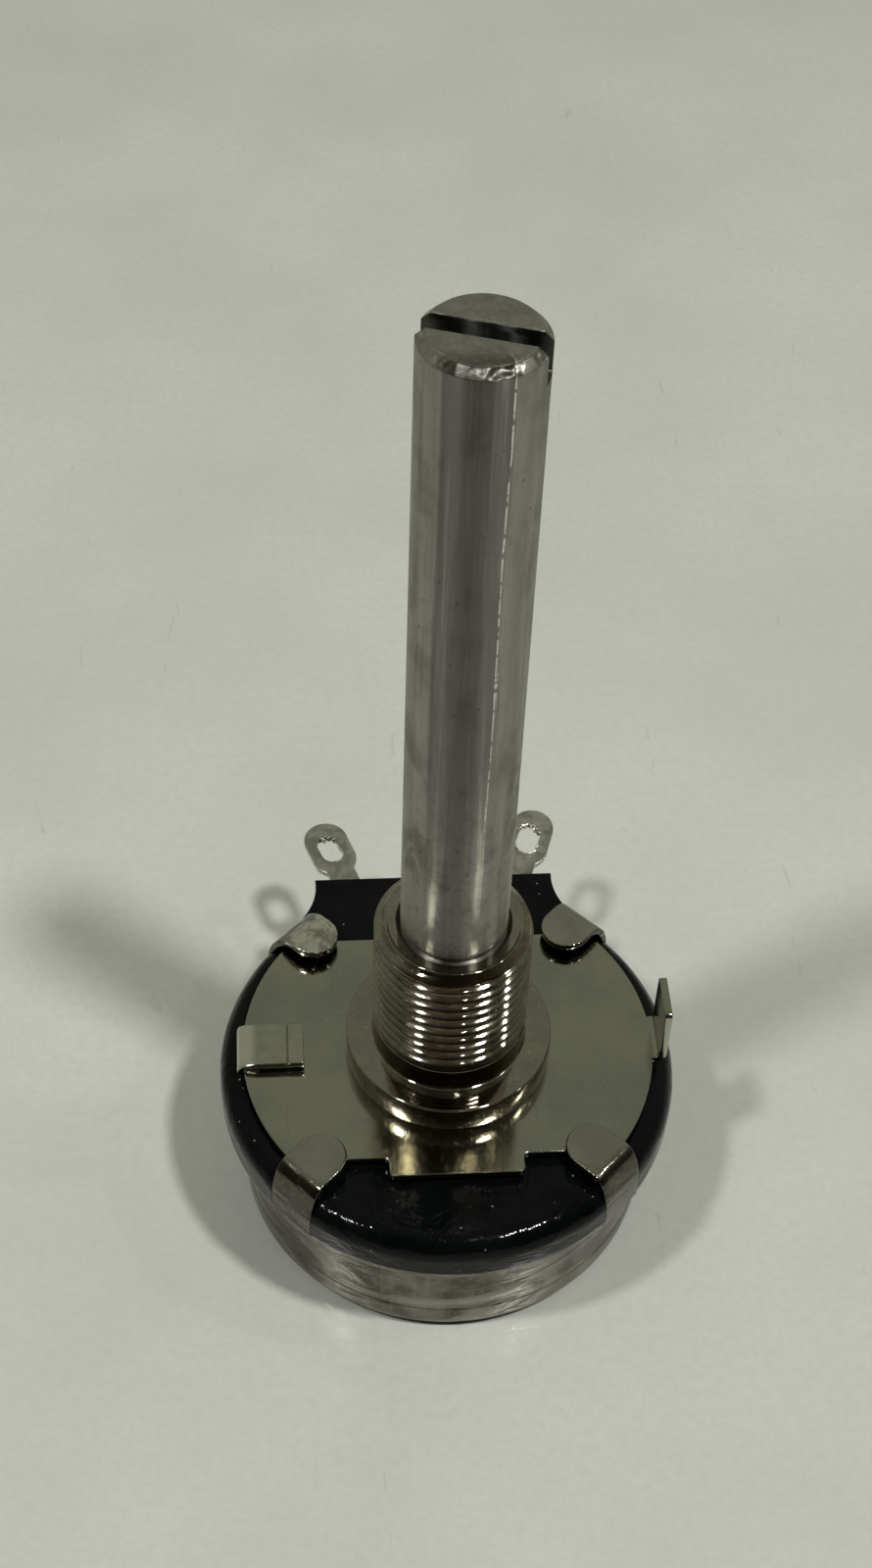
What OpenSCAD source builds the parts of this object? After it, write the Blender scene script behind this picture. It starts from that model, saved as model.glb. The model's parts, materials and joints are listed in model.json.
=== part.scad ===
// Single-gang rotary potentiometer for panel mounting, with three solder lugs.
// The origin is the centre of the rear face. +Z runs along the shaft to its
// slotted end, and +Y points at the terminals. Sizes are in millimetres.

/* [Shaft] */
// Diameter of the shaft
shaft_d = 6; // [5:0.05:7.2]
// Length of the shaft in front of the mounting face
shaft_len = 50; // [15:0.5:80]
// Chamfer around the slotted end
shaft_chamfer = 0.45; // [0.2:0.05:0.8]
// Width of the screwdriver slot
slot_w = 1.1; // [0.6:0.05:1.6]
// Depth of the screwdriver slot
slot_depth = 2; // [1:0.1:4]
// Angle of the slot at mid travel, seen from the front
slot_angle = -17; // [-90:1:90]
// Depth of the relief groove at the bushing's mouth
relief_depth = 0.2; // [0.15:0.05:0.5]
// Width of the relief groove
relief_w = 0.5; // [0.3:0.05:1]
// How far the relief groove stands out of the bushing's mouth
relief_out = 0.2; // [0.1:0.05:0.3]
// Diameter of the groove for the retaining ring
groove_d = 5; // [4:0.05:5]
// Diameter of the flatted tail that carries the rotor
tail_d = 4; // [3:0.05:4.8]
// Depth of the flat on the tail
tail_flat = 0.7; // [0.3:0.05:0.9]
// Thickness of the staked head behind the rotor
stake_t = 0.5; // [0.3:0.05:0.8]
// How far the staked head spreads past the tail
stake_lip = 0.45; // [0.3:0.05:0.6]
// Diameter of the pivot that faces the rear cover
pivot_d = 3; // [2:0.1:3.4]
// Angle that the shaft turns from stop to stop
turn_deg = 300; // [240:5:300]

/* [Bushing] */
// Crest diameter of the bushing's fine thread
thread_d = 8.9; // [8.2:0.05:10.6]
// Length of the barrel in front of the mounting face
thread_len = 10; // [6:0.5:12]
// Radial size of the chamfer at the barrel's mouth
mouth_chamfer_r = 0.6; // [0.2:0.05:0.6]
// Height of the chamfer at the barrel's mouth
mouth_chamfer_h = 0.45; // [0.2:0.05:0.9]
// Diameter of the mounting collar
collar_d = 12; // [11:0.1:14]
// Height of the mounting collar
collar_h = 1.8; // [1:0.1:3]
// Diameter of the spigot that passes through the front plate
spigot_d = 8.2; // [7.8:0.05:8.6]
// Diameter of the riveted rim behind the front plate
rivet_rim_d = 9.6; // [9:0.1:10.4]
// Height of the riveted rim
rivet_rim_h = 0.6; // [0.4:0.05:0.8]

/* [Front plate] */
// How far the plate's edge lies inside the ring's edge
plate_in = 1.4; // [1.2:0.05:1.8]
// Thickness of the front plate
plate_t = 0.45; // [0.3:0.05:0.8]
// How far the front chord lies inside the ring's edge
front_chord_in = 5.75; // [5:0.05:6.5]
// How far the rear chord, beside the terminals, lies inside the ring's edge
back_chord_in = 5.5; // [5:0.05:6.5]
// Width of the front tongue
tongue_w = 7.7; // [5:0.1:9]
// How far the tongue runs past the front chord
tongue_len = 1.21; // [0.9:0.01:2]
// Corner radius of the tongue
tongue_corner = 0.3; // [0.1:0.05:0.5]
// Width of the two locating lugs
lug_w = 3; // [2:0.1:4]
// Inside bend radius of the standing lug
lug_bend_r = 0.2; // [0.1:0.05:0.4]
// Height of the standing lug above the plate
lug_stand_h = 4; // [2:0.1:6]
// Corner radius of the standing lug
lug_corner = 0.35; // [0.1:0.05:1]
// How far the plate runs past its edge before the standing lug's bend
lug_stand_out = 0.1; // [0.05:0.05:0.2]
// How far inside the plate's edge the folded lug's bend starts
lug_fold_in = 0.15; // [0.1:0.05:0.3]
// Length of the lug that is folded back flat, from its bend
lug_fold_len = 3.45; // [2:0.05:4.5]
// Gap under the folded lug
lug_fold_gap = 0.06; // [0.02:0.02:0.4]

/* [Housing] */
// Outer radius of the moulded ring
ring_r = 13.5; // [12.6:0.05:16.5]
// Height of the moulded ring
ring_h = 2.5; // [2.2:0.05:4]
// Radius of the ring's rounded shoulder
shoulder_r = 1.3; // [0.5:0.05:1.8]
// Height of the land under the front plate
land_h = 0.35; // [0.1:0.05:0.8]
// How far the land lies inside the plate's edge
land_inset = 0.4; // [0.2:0.05:0.8]
// Thickness of the wall around the resistive element
ring_wall = 2.5; // [2:0.05:2.6]
// Thickness of the web between the terminals and the front plate
web_t = 1.5; // [1.1:0.05:1.8]
// Radius of the opening in the web around the bushing
web_hole_r = 5.6; // [5.4:0.05:6]
// Depth of the skirt that enters the rear cover
skirt_h = 1.2; // [0.8:0.05:2]
// Gap between the skirt and the inside of the cover
skirt_gap = 0.15; // [0.1:0.05:0.3]
// Radial size of the stop post
post_depth = 1.3; // [1:0.05:1.5]
// Width of the terminal block at its narrowest
block_w = 14.9; // [14:0.1:18]
// Radius of the hollow flare on each side of the block
flare_r = 4.2; // [2:0.1:6]
// Length of the block's straight side behind the flare
flare_drop = 0.45; // [0.2:0.05:1]
// How far the foot of the flare spreads past the block
flare_foot = 1.05; // [0.5:0.05:1.2]

/* [Rear cover] */
// Thickness of the cover's sheet
cover_t = 0.45; // [0.3:0.05:0.7]
// Height of the cover from its rear face to its rim
cover_h = 8.4; // [7.8:0.1:12]
// How far the cup's wall lies inside the ring's edge
cover_step = 1.25; // [1:0.05:1.6]
// Outside radius of the cup's rear corner
cup_corner = 1; // [0.7:0.05:1.6]
// Inside bend radius under the rim
rim_bend_r = 0.3; // [0.1:0.05:0.4]
// How far the rim lies inside the ring's edge
rim_inset = 0.05; // [0:0.05:0.3]
// Width of the four straps
strap_w = 3; // [2:0.1:3.6]
// How far the straps reach in from the ring's edge
strap_reach = 4.05; // [3:0.05:4.5]
// Height above the rim where the straps begin to curve inwards
strap_rise = 0.9; // [0.5:0.05:1.2]
// How far the rear straps stand clear of the plate
strap_lift = 0.5; // [0.2:0.05:0.8]

/* [Terminals] */
// Thickness of the terminals
term_t = 0.4; // [0.3:0.05:0.6]
// Width of the terminals' stems
stem_w = 1.75; // [1.4:0.05:2.2]
// Distance between the outer and middle terminals at the block
term_pitch = 5.2; // [4.6:0.1:5.4]
// Angle by which the outer terminals fan out
term_fan = 19; // [0:1:20]
// Angle by which the right terminal is bent up
term_lift = 8; // [0:1:15]
// Distance from the block to the middle of the eyelets
eye_reach = 3.75; // [3:0.05:6]
// Width of the eyelets
eye_w = 2.8; // [2.4:0.05:3.2]
// Length of the eyelets
eye_len = 4.4; // [3.6:0.05:5]
// Width of the eyelets' holes
eye_hole_w = 1.5; // [1:0.05:1.7]
// Length of the eyelets' holes
eye_hole_len = 2.3; // [1.8:0.05:2.6]
// Distance from the block's face to the outer terminals' rivets
side_rivet_in = 4.4; // [4:0.05:4.6]
// Distance from the block's face to the middle terminal's rivet
mid_rivet_in = 6.4; // [6:0.05:6.6]
// Diameter of the rivets
rivet_d = 0.9; // [0.6:0.05:1]
// Diameter of the rivets' heads
rivet_head_d = 1.4; // [1.1:0.05:1.5]
// Thickness of the rivets' heads
rivet_head_t = 0.25; // [0.15:0.05:0.3]

/* [Resistive element] */
// Thickness of the element's board
board_t = 0.8; // [0.5:0.05:1]
// Radius of the hole in the board
board_hole_r = 4.6; // [4.2:0.05:4.8]
// Inner radius of the collector ring
collector_in = 4.9; // [4.8:0.05:5]
// Outer radius of the collector ring
collector_out = 6.2; // [6:0.05:6.3]
// Thickness of the collector ring
collector_t = 0.3; // [0.2:0.05:0.4]
// Width of the collector ring's tab
collector_tab_w = 1.8; // [1.6:0.05:2]

/* [Rotor] */
// Height of the rotor's rear face above the rear face of the cover
rotor_z = 4.4; // [4.2:0.05:5]
// Radius of the rotor
rotor_r = 9.6; // [8:0.05:9.6]
// Thickness of the rotor
rotor_t = 1.6; // [1:0.05:1.8]
// Thickness of the wiper spring
spring_t = 0.3; // [0.2:0.05:0.4]
// Radius of the wiper spring's hub
spring_hub_r = 4.4; // [4.2:0.05:4.6]
// Width of the wiper spring's arms
arm_w = 2.2; // [1.6:0.05:2.4]
// Radius at which the carbon brush runs
brush_track_r = 8.4; // [8.2:0.05:8.6]
// Diameter of the carbon brush
brush_d = 1.2; // [0.8:0.05:1.4]
// Diameter of the brush's shank, in the hole of its arm
shank_d = 0.9; // [0.5:0.05:1]
// Length of the level pad under the brush
brush_pad_len = 2; // [1.8:0.1:2.4]
// Length of the level pad under the collector contact
contact_pad_len = 1.3; // [1.1:0.1:1.4]
// Height of the brush above its arm
brush_h = 0.8; // [0.5:0.05:1]
// Radius at which the collector contact runs
contact_track_r = 5.55; // [5.4:0.05:5.7]
// Radius of the collector contact's dimple
dimple_r = 0.45; // [0.3:0.05:0.5]
// Thickness of the stop arm
stop_t = 0.8; // [0.6:0.05:0.9]
// Radius of the stop arm's hub
stop_hub_r = 4.2; // [3.5:0.05:5]
// Width of the stop arm
stop_w = 3; // [2:0.05:3.4]
// How far the stop arm ends inside the stop post's outer radius
stop_short = 0.45; // [0.3:0.05:0.6]
// Thickness of the washer under the staked head
tail_washer_t = 0.4; // [0.3:0.05:0.5]
// Radius of the washer under the staked head
tail_washer_r = 3.4; // [3:0.05:4]
// Diameter of the two pegs that hold the wiper spring
peg_d = 0.9; // [0.6:0.05:1]
// How far the pegs stand out of the wiper spring
peg_out = 0.15; // [0.1:0.05:0.3]
// Outer diameter of the thrust washer
thrust_d = 9.6; // [9:0.1:10.4]
// Thickness of the thrust washer
thrust_t = 0.3; // [0.2:0.05:0.4]
// Outer diameter of the retaining ring
clip_d = 9; // [8:0.1:9.6]
// Thickness of the retaining ring
clip_t = 0.5; // [0.4:0.05:0.6]
// Radius of the two notches inside the retaining ring
clip_notch_r = 0.9; // [0.5:0.05:0.9]
// Width of the retaining ring's mouth
clip_mouth = 4.2; // [3.6:0.05:4.3]

/* [Clearances] */
// Radial clearance of the shaft in the bushing
shaft_clear = 0.03; // [0.01:0.01:0.08]
// Clearance of pieces that are pressed or staked together
seat_clear = 0.02; // [0.01:0.01:0.05]
// Clearance of pieces that drop into the housing
drop_clear = 0.1; // [0.05:0.01:0.15]
// Gap between a moving contact and the face that it runs on
contact_gap = 0.04; // [0.02:0.01:0.08]
// End float of the shaft
end_float = 0.05; // [0.02:0.01:0.1]
// Angle left between the stop arm and the post at each end
stop_gap_deg = 0.5; // [0.2:0.1:2]

/* [Hidden] */
$fn = 96;

// A cut runs this far past the face that it opens
over = 0.5;
// Pieces of one solid sink this far into each other
sink = 0.05;
// Keeps a straight cut off the point where it would only touch an arc
arc_step = 0.02;

// Heights, from the rear face up
z_rim = cover_h;
z_ring_top = z_rim + ring_h;
z_plate = z_ring_top + land_h;
z_plate_top = z_plate + plate_t;
z_mount = z_plate_top + collar_h;
z_mouth = z_mount + thread_len;
z_relief = z_mouth + relief_out - relief_w;
z_shaft_end = z_mount + shaft_len;
z_bushing_rear = z_plate - rivet_rim_h;
z_web = z_ring_top - web_t;
z_board = z_web - board_t;
z_collector = z_board - collector_t;
z_thrust = z_bushing_rear - end_float - thrust_t;
z_clip = z_thrust - clip_t;
z_rotor_top = rotor_z + rotor_t;
z_shoulder = z_rotor_top + spring_t;
z_stop = rotor_z - stop_t;
z_tail_washer = z_stop - tail_washer_t;
z_stake = z_tail_washer - stake_t;
z_pivot = cover_t + drop_clear;
z_brush_arm = z_board - contact_gap - brush_h - spring_t;
z_contact_arm = z_collector - contact_gap - dimple_r / 2 - spring_t;
z_post = z_stop - 2 * drop_clear;

// Radii
bore_r = ring_r - ring_wall;
board_r = bore_r - drop_clear;
cup_r = ring_r - cover_step;
cup_bore_r = cup_r - cover_t;
rim_r = ring_r - rim_inset;
plate_r = ring_r - plate_in;
front_chord = ring_r - front_chord_in;
back_chord = ring_r - back_chord_in;
tongue_y = front_chord + tongue_len;
skirt_r = cup_bore_r - skirt_gap;
post_in_r = skirt_r - post_depth;
stop_arm_r = skirt_r - stop_short;
stake_r = tail_d / 2 + stake_lip;

// Terminals: the angle of each stem and its rivet's distance from the block
block_y = ring_r;
TERMINALS = [
    ["left", -term_pitch, term_fan, side_rivet_in, 0],
    ["centre", 0, 0, mid_rivet_in, 0],
    ["right", term_pitch, -term_fan, side_rivet_in, term_lift]
];
function term_x(t) = t[1];
function term_turn(t) = t[2];
function term_rivet_in(t) = t[3];
function term_bend(t) = t[4];
function rivet_x(t) = term_x(t) + term_rivet_in(t) * sin(term_turn(t));
function rivet_y(t) = block_y - term_rivet_in(t) * cos(term_turn(t));

// Straps: angle, distance from the ring's edge to the bend, gap under the end
STRAPS = [
    [-135, 1.3, 0],
    [-45, 1.3, 0],
    [45, 1.8, strap_lift],
    [135, 2.2, strap_lift]
];
strap_steps = 6;

// Half angle of the stop post, from the travel that is left
post_half = (360 - turn_deg) / 2 - asin(stop_w / 2 / post_in_r) - stop_gap_deg;

// ---- Shared shapes -------------------------------------------------------

// A disc with a round hole, standing on z
module ring(z, h, r_out, r_in) {
    translate([0, 0, z])
        difference() {
            cylinder(r = r_out, h = h);
            translate([0, 0, -over]) cylinder(r = r_in, h = h + 2 * over);
        }
}

// A bar with round ends, along Y, centred on the origin
module oblong(w, len) {
    square([w, len - w], center = true);
    for (end = [-1, 1])
        translate([0, end * (len - w) / 2]) circle(d = w);
}

// The D-shaped section of the tail, grown by a clearance
module tail_section(grow) {
    intersection() {
        circle(d = tail_d + 2 * grow);
        translate([-tail_d, -tail_d])
            square([1.5 * tail_d - tail_flat + grow, 2 * tail_d]);
    }
}

// Quarter of a bent sheet: a square corner cut to an arc, by its quadrant
module bend(x, z, r_in, t, right, up) {
    translate([x, z])
        intersection() {
            difference() {
                circle(r = r_in + t);
                circle(r = r_in);
            }
            translate([right ? 0 : -r_in - t, up ? 0 : -r_in - t]) square(r_in + t);
        }
}

// Turns a section drawn in (radius, height) into a flat bar across +X
module across(w) {
    rotate([90, 0, 0]) linear_extrude(w, center = true) children();
}

// ---- Shaft and what it carries at the front ------------------------------

module shaft() {
    color("#8d8881")
        difference() {
            union() {
                translate([0, 0, z_shoulder])
                    cylinder(d = shaft_d, h = z_shaft_end - shaft_chamfer - z_shoulder);
                translate([0, 0, z_shaft_end - shaft_chamfer])
                    cylinder(d1 = shaft_d, d2 = shaft_d - 2 * shaft_chamfer, h = shaft_chamfer);
                translate([0, 0, z_tail_washer])
                    linear_extrude(z_shoulder - z_tail_washer) tail_section(0);
                translate([0, 0, z_stake]) cylinder(r = stake_r, h = stake_t);
                translate([0, 0, z_pivot]) cylinder(d = pivot_d, h = z_stake - z_pivot);
            }
            shaft_slot();
            ring(z_clip - seat_clear, clip_t + 2 * seat_clear, shaft_d, groove_d / 2);
            ring(z_relief, relief_w, shaft_d, shaft_d / 2 - relief_depth);
        }
}

module shaft_slot() {
    rotate([0, 0, slot_angle])
        translate([-shaft_d, -slot_w / 2, z_shaft_end - slot_depth])
            cube([2 * shaft_d, slot_w, slot_depth + over]);
}

module retaining_ring() {
    color("#77736b")
        translate([0, 0, z_clip])
            linear_extrude(clip_t)
                difference() {
                    circle(d = clip_d);
                    circle(d = groove_d + 2 * seat_clear);
                    translate([0, -clip_mouth / 2]) square([clip_d, clip_mouth]);
                    for (side = [-1, 1])
                        rotate([0, 0, 180 + side * 55])
                            translate([groove_d / 2 + clip_notch_r / 2, 0]) circle(r = clip_notch_r);
                }
}

module thrust_washer() {
    color("#b9b4a8")
        ring(z_thrust, thrust_t, thrust_d / 2, shaft_d / 2 + shaft_clear + seat_clear);
}

// ---- Front: bushing and plate --------------------------------------------

module bushing() {
    barrel_h = z_mouth - z_mount - mouth_chamfer_h;
    bore_d = shaft_d + 2 * shaft_clear;
    color("#a79f92")
        difference() {
            union() {
                translate([0, 0, z_bushing_rear]) cylinder(d = rivet_rim_d, h = rivet_rim_h);
                translate([0, 0, z_plate]) cylinder(d = spigot_d, h = plate_t);
                translate([0, 0, z_plate_top]) cylinder(d = collar_d, h = collar_h);
                translate([0, 0, z_mount]) cylinder(d = thread_d, h = barrel_h);
                translate([0, 0, z_mount + barrel_h])
                    cylinder(d1 = thread_d, d2 = thread_d - 2 * mouth_chamfer_r, h = mouth_chamfer_h);
            }
            translate([0, 0, z_bushing_rear - over])
                cylinder(d = bore_d, h = z_mouth - z_bushing_rear + 2 * over);
        }
}

// Outline of the front plate: a disc with two chords and a tongue
module plate_outline(inset) {
    intersection() {
        circle(r = plate_r - inset);
        translate([-plate_r, inset - front_chord])
            square([2 * plate_r, front_chord + back_chord - 2 * inset]);
    }
    tongue(inset);
}

module tongue(inset) {
    half = tongue_w / 2 - inset;
    tip = tongue_y - inset;
    root = front_chord - inset;
    c = tongue_corner;
    translate([-half, c - tip]) square([2 * half, tip - c - root / 2]);
    translate([c - half, -tip]) square([2 * (half - c), c]);
    for (side = [-1, 1]) {
        translate([side * (half - c), c - tip]) circle(r = c);
        // fillet between the tongue and the chord
        difference() {
            translate([side * (half + c / 2), -root - c / 2]) square(c, center = true);
            translate([side * (half + c), -root - c]) circle(r = c);
        }
    }
}

module front_plate() {
    color("#8f9080")
        difference() {
            union() {
                translate([0, 0, z_plate]) linear_extrude(plate_t) plate_outline(0);
                lug_standing();
                lug_folded();
            }
            translate([0, 0, z_plate - over])
                cylinder(d = spigot_d + 2 * seat_clear, h = plate_t + 2 * over);
        }
}

// Locating lug bent up at right angles, on the +X side
module lug_standing() {
    x_bend = plate_r + lug_stand_out;
    top = plate_t + lug_stand_h;
    translate([0, 0, z_plate])
        intersection() {
            across(lug_w) {
                translate([plate_r - 1, 0]) square([x_bend - plate_r + 1, plate_t]);
                bend(x_bend, plate_t + lug_bend_r, lug_bend_r, plate_t, true, false);
                translate([x_bend + lug_bend_r, plate_t + lug_bend_r])
                    square([plate_t, top - plate_t - lug_bend_r]);
            }
            rotate([90, 0, 90])
                linear_extrude(2 * plate_r) {
                    translate([-lug_w / 2, -over]) square([lug_w, top + over - lug_corner]);
                    translate([lug_corner - lug_w / 2, -over])
                        square([lug_w - 2 * lug_corner, top + over]);
                    for (side = [-1, 1])
                        translate([side * (lug_w / 2 - lug_corner), top - lug_corner])
                            circle(r = lug_corner);
                }
        }
}

// The other lug, folded back flat onto the plate, on the -X side
module lug_folded() {
    x_bend = plate_r - lug_fold_in;
    r_in = lug_fold_gap / 2;
    translate([0, 0, z_plate])
        mirror([1, 0, 0])
            across(lug_w) {
                translate([plate_r - 1, 0]) square([x_bend - plate_r + 1, plate_t]);
                bend(x_bend, plate_t + r_in, r_in, plate_t, true, false);
                bend(x_bend, plate_t + r_in, r_in, plate_t, true, true);
                translate([x_bend - lug_fold_len, plate_t + lug_fold_gap])
                    square([lug_fold_len, plate_t]);
            }
}

// ---- Housing -------------------------------------------------------------

// Section of the moulded ring, its web and the skirt inside the cover
module housing_section() {
    difference() {
        union() {
            translate([web_hole_r, z_web]) square([ring_r - web_hole_r, web_t]);
            translate([bore_r, z_rim]) square([ring_wall, ring_h]);
            translate([bore_r, z_rim - skirt_h]) square([skirt_r - bore_r, skirt_h]);
        }
        translate([ring_r - shoulder_r, z_ring_top - shoulder_r])
            difference() {
                square(shoulder_r + over);
                circle(r = shoulder_r);
            }
    }
}

// Plan of the terminal block, with a hollow flare on each side
module block_plan() {
    half = block_w / 2;
    difference() {
        translate([-half - flare_foot, bore_r / 2])
            square([2 * (half + flare_foot), block_y - bore_r / 2]);
        for (side = [-1, 1])
            translate([side * (half + flare_r), block_y - flare_drop]) circle(r = flare_r);
        for (side = [-1, 1])
            translate([side * (half + over / 2 + arc_step), block_y])
                square([over, 2 * flare_drop], center = true);
        circle(r = bore_r);
    }
}

module stop_post() {
    reach = 2 * ring_r;
    translate([0, 0, z_post])
        linear_extrude(z_board - rivet_head_t - drop_clear - z_post)
            intersection() {
                difference() {
                    circle(r = skirt_r);
                    circle(r = post_in_r);
                }
                polygon([
                    [0, 0],
                    [reach * sin(post_half), reach * cos(post_half)],
                    [-reach * sin(post_half), reach * cos(post_half)]
                ]);
            }
}

// Room for one terminal, from its rivet out through the block's face
module terminal_slot(t) {
    grow = drop_clear / 2;
    translate([term_x(t), block_y, z_web - over])
        rotate([0, 0, term_turn(t)])
            linear_extrude(over + term_t + grow)
                translate([-stem_w / 2 - grow, -term_rivet_in(t)])
                    square([stem_w + 2 * grow, term_rivet_in(t) + stem_w]);
    translate([rivet_x(t), rivet_y(t), z_web - over])
        cylinder(d = stem_w + 2 * over, h = over + term_t + rivet_head_t + grow);
}

module housing() {
    color("#101214")
        difference() {
            union() {
                rotate_extrude() housing_section();
                translate([0, 0, z_rim]) linear_extrude(ring_h) block_plan();
                translate([0, 0, z_ring_top])
                    linear_extrude(land_h)
                        difference() {
                            plate_outline(land_inset);
                            circle(r = web_hole_r);
                        }
                stop_post();
            }
            for (s = STRAPS) strap_groove(s);
            for (t = TERMINALS) terminal_slot(t);
        }
}

// ---- Rear cover and its straps -------------------------------------------

// Middle line of a strap from the rim up, as (radius, height) points
function strap_line(s) = let(
    r_side = rim_r - cover_t / 2,
    r_bend = ring_r - s[1],
    z_low = z_rim + strap_rise,
    z_high = z_plate_top + s[2] + cover_t / 2
) concat(
    [[r_side, z_rim - cover_t]],
    [for (i = [strap_steps:-1:0])
        let(a = 90 * i / strap_steps)
        [r_bend + (r_side - r_bend) * sin(a), z_low + (z_high - z_low) * cos(a)]],
    [[ring_r - strap_reach, z_high]]
);

// Direction square to the line at point i, pointing away from the axis
function line_normal(p, i) = let(
    a = p[max(i - 1, 0)],
    b = p[min(i + 1, len(p) - 1)],
    d = (b - a) / norm(b - a)
) [d[1], -d[0]];

function shifted(p, d) = [for (i = [0:len(p) - 1]) p[i] + d * line_normal(p, i)];

function reversed(p) = [for (i = [len(p) - 1:-1:0]) p[i]];

// A sheet of thickness t along a line of points
module sheet_section(line, t) {
    polygon(concat(shifted(line, t / 2), reversed(shifted(line, -t / 2))));
}

module strap(s) {
    line = strap_line(s);
    tip = ring_r - strap_reach;
    rotate([0, 0, s[0]])
        intersection() {
            across(strap_w) sheet_section(line, cover_t);
            linear_extrude(z_plate_top + strap_lift + 2 * cover_t) {
                translate([tip + strap_w / 2, 0]) circle(d = strap_w);
                translate([tip + strap_w / 2, -strap_w / 2]) square([ring_r, strap_w]);
            }
        }
}

// Room for a strap in the side of the housing
module strap_groove(s) {
    line = strap_line(s);
    grow = 2 * seat_clear;
    r_side = rim_r - cover_t / 2;
    rotate([0, 0, s[0]])
        across(strap_w + 2 * grow) {
            sheet_section(line, cover_t + 2 * grow);
            translate([r_side, z_rim - over]) square([ring_r, ring_h + 2 * over]);
        }
}

// Half section of the drawn cup, with its turned-out rim
module cover_section() {
    x_rim = cup_r + rim_bend_r;
    z_bend = z_rim - cover_t - rim_bend_r;
    square([cup_r - cup_corner, cover_t]);
    bend(cup_r - cup_corner, cup_corner, cup_corner - cover_t, cover_t, true, false);
    translate([cup_bore_r, cup_corner]) square([cover_t, z_bend - cup_corner]);
    bend(x_rim, z_bend, rim_bend_r, cover_t, false, true);
    translate([x_rim, z_rim - cover_t]) square([rim_r - x_rim, cover_t]);
}

module rear_cover() {
    color("#9b948a") {
        rotate_extrude() cover_section();
        for (s = STRAPS) strap(s);
    }
}

// ---- Terminals and rivets ------------------------------------------------

// Everything outside the block: a short stem and the eyelet
module eyelet_plan() {
    difference() {
        union() {
            translate([0, eye_reach]) oblong(eye_w, eye_len);
            translate([-stem_w / 2, 0])
                square([stem_w, eye_reach - (eye_len + eye_hole_len) / 4]);
        }
        translate([0, eye_reach]) oblong(eye_hole_w, eye_hole_len);
    }
}

module terminal(t) {
    color("#a9a89c")
        translate([term_x(t), block_y, z_web])
            rotate([0, 0, term_turn(t)]) {
                difference() {
                    linear_extrude(term_t) {
                        translate([-stem_w / 2, -term_rivet_in(t)])
                            square([stem_w, term_rivet_in(t)]);
                        translate([0, -term_rivet_in(t)]) circle(d = stem_w);
                    }
                    translate([0, -term_rivet_in(t), -over])
                        cylinder(d = rivet_d + 2 * seat_clear, h = term_t + 2 * over);
                }
                translate([0, 0, term_t / 2]) {
                    rotate([0, 90, 0]) cylinder(d = term_t, h = stem_w, center = true);
                    rotate([term_bend(t), 0, 0])
                        translate([0, 0, -term_t / 2]) linear_extrude(term_t) eyelet_plan();
                }
            }
}

module terminal_left() {
    terminal(TERMINALS[0]);
}

module terminal_centre() {
    terminal(TERMINALS[1]);
}

module terminal_right() {
    terminal(TERMINALS[2]);
}

// A rivet from the face at z_low to the top of a terminal
module rivet(t, z_low) {
    z_high = z_web + term_t;
    color("#b3a06a")
        translate([rivet_x(t), rivet_y(t), 0]) {
            translate([0, 0, z_low - rivet_head_t]) cylinder(d = rivet_head_d, h = rivet_head_t);
            translate([0, 0, z_low]) cylinder(d = rivet_d, h = z_high - z_low);
            translate([0, 0, z_high]) cylinder(d = rivet_head_d, h = rivet_head_t);
        }
}

module rivet_left() {
    rivet(TERMINALS[0], z_board);
}

module rivet_centre() {
    rivet(TERMINALS[1], z_collector);
}

module rivet_right() {
    rivet(TERMINALS[2], z_board);
}

// ---- Resistive element and collector -------------------------------------

module rivet_holes() {
    for (t = TERMINALS)
        translate([rivet_x(t), rivet_y(t)]) circle(d = rivet_d + 2 * seat_clear);
}

module resistive_element() {
    color("#5a3b22")
        translate([0, 0, z_board])
            linear_extrude(board_t)
                difference() {
                    circle(r = board_r);
                    circle(r = board_hole_r);
                    rivet_holes();
                }
}

module collector_ring() {
    tab_y = rivet_y(TERMINALS[1]);
    color("#c9a24a")
        translate([0, 0, z_collector])
            linear_extrude(collector_t)
                difference() {
                    union() {
                        circle(r = collector_out);
                        translate([-collector_tab_w / 2, 0]) square([collector_tab_w, tab_y]);
                        translate([0, tab_y]) circle(d = collector_tab_w);
                    }
                    circle(r = collector_in);
                    rivet_holes();
                }
}

// ---- Rotor, wiper and stop -----------------------------------------------

// Middle of the two pegs that hold the wiper spring, clear of the shaft
function peg_x() = shaft_d / 2 + drop_clear + peg_d / 2;

module pegs(h, d) {
    for (side = [-1, 1])
        translate([side * peg_x(), 0, 0]) cylinder(d = d, h = h);
}

module rotor() {
    color("#6d4a2c")
        difference() {
            union() {
                translate([0, 0, rotor_z]) cylinder(r = rotor_r, h = rotor_t);
                translate([0, 0, z_rotor_top]) pegs(spring_t + peg_out, peg_d);
            }
            translate([0, 0, rotor_z - over])
                linear_extrude(rotor_t + 2 * over) tail_section(seat_clear);
        }
}

// One arm of the wiper spring: level, sloping up, then level at its pad
module wiper_arm(pad_r, pad_len, z_pad) {
    z_mid = z_rotor_top + spring_t / 2;
    z_end = z_pad + spring_t / 2;
    root = shaft_d / 2;
    foot = spring_hub_r - over;
    heel = pad_r - pad_len / 2;
    toe = pad_r + pad_len / 2;
    across(arm_w)
        sheet_section([[root, z_mid], [foot, z_mid], [heel, z_end], [toe, z_end]], spring_t);
}

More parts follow.
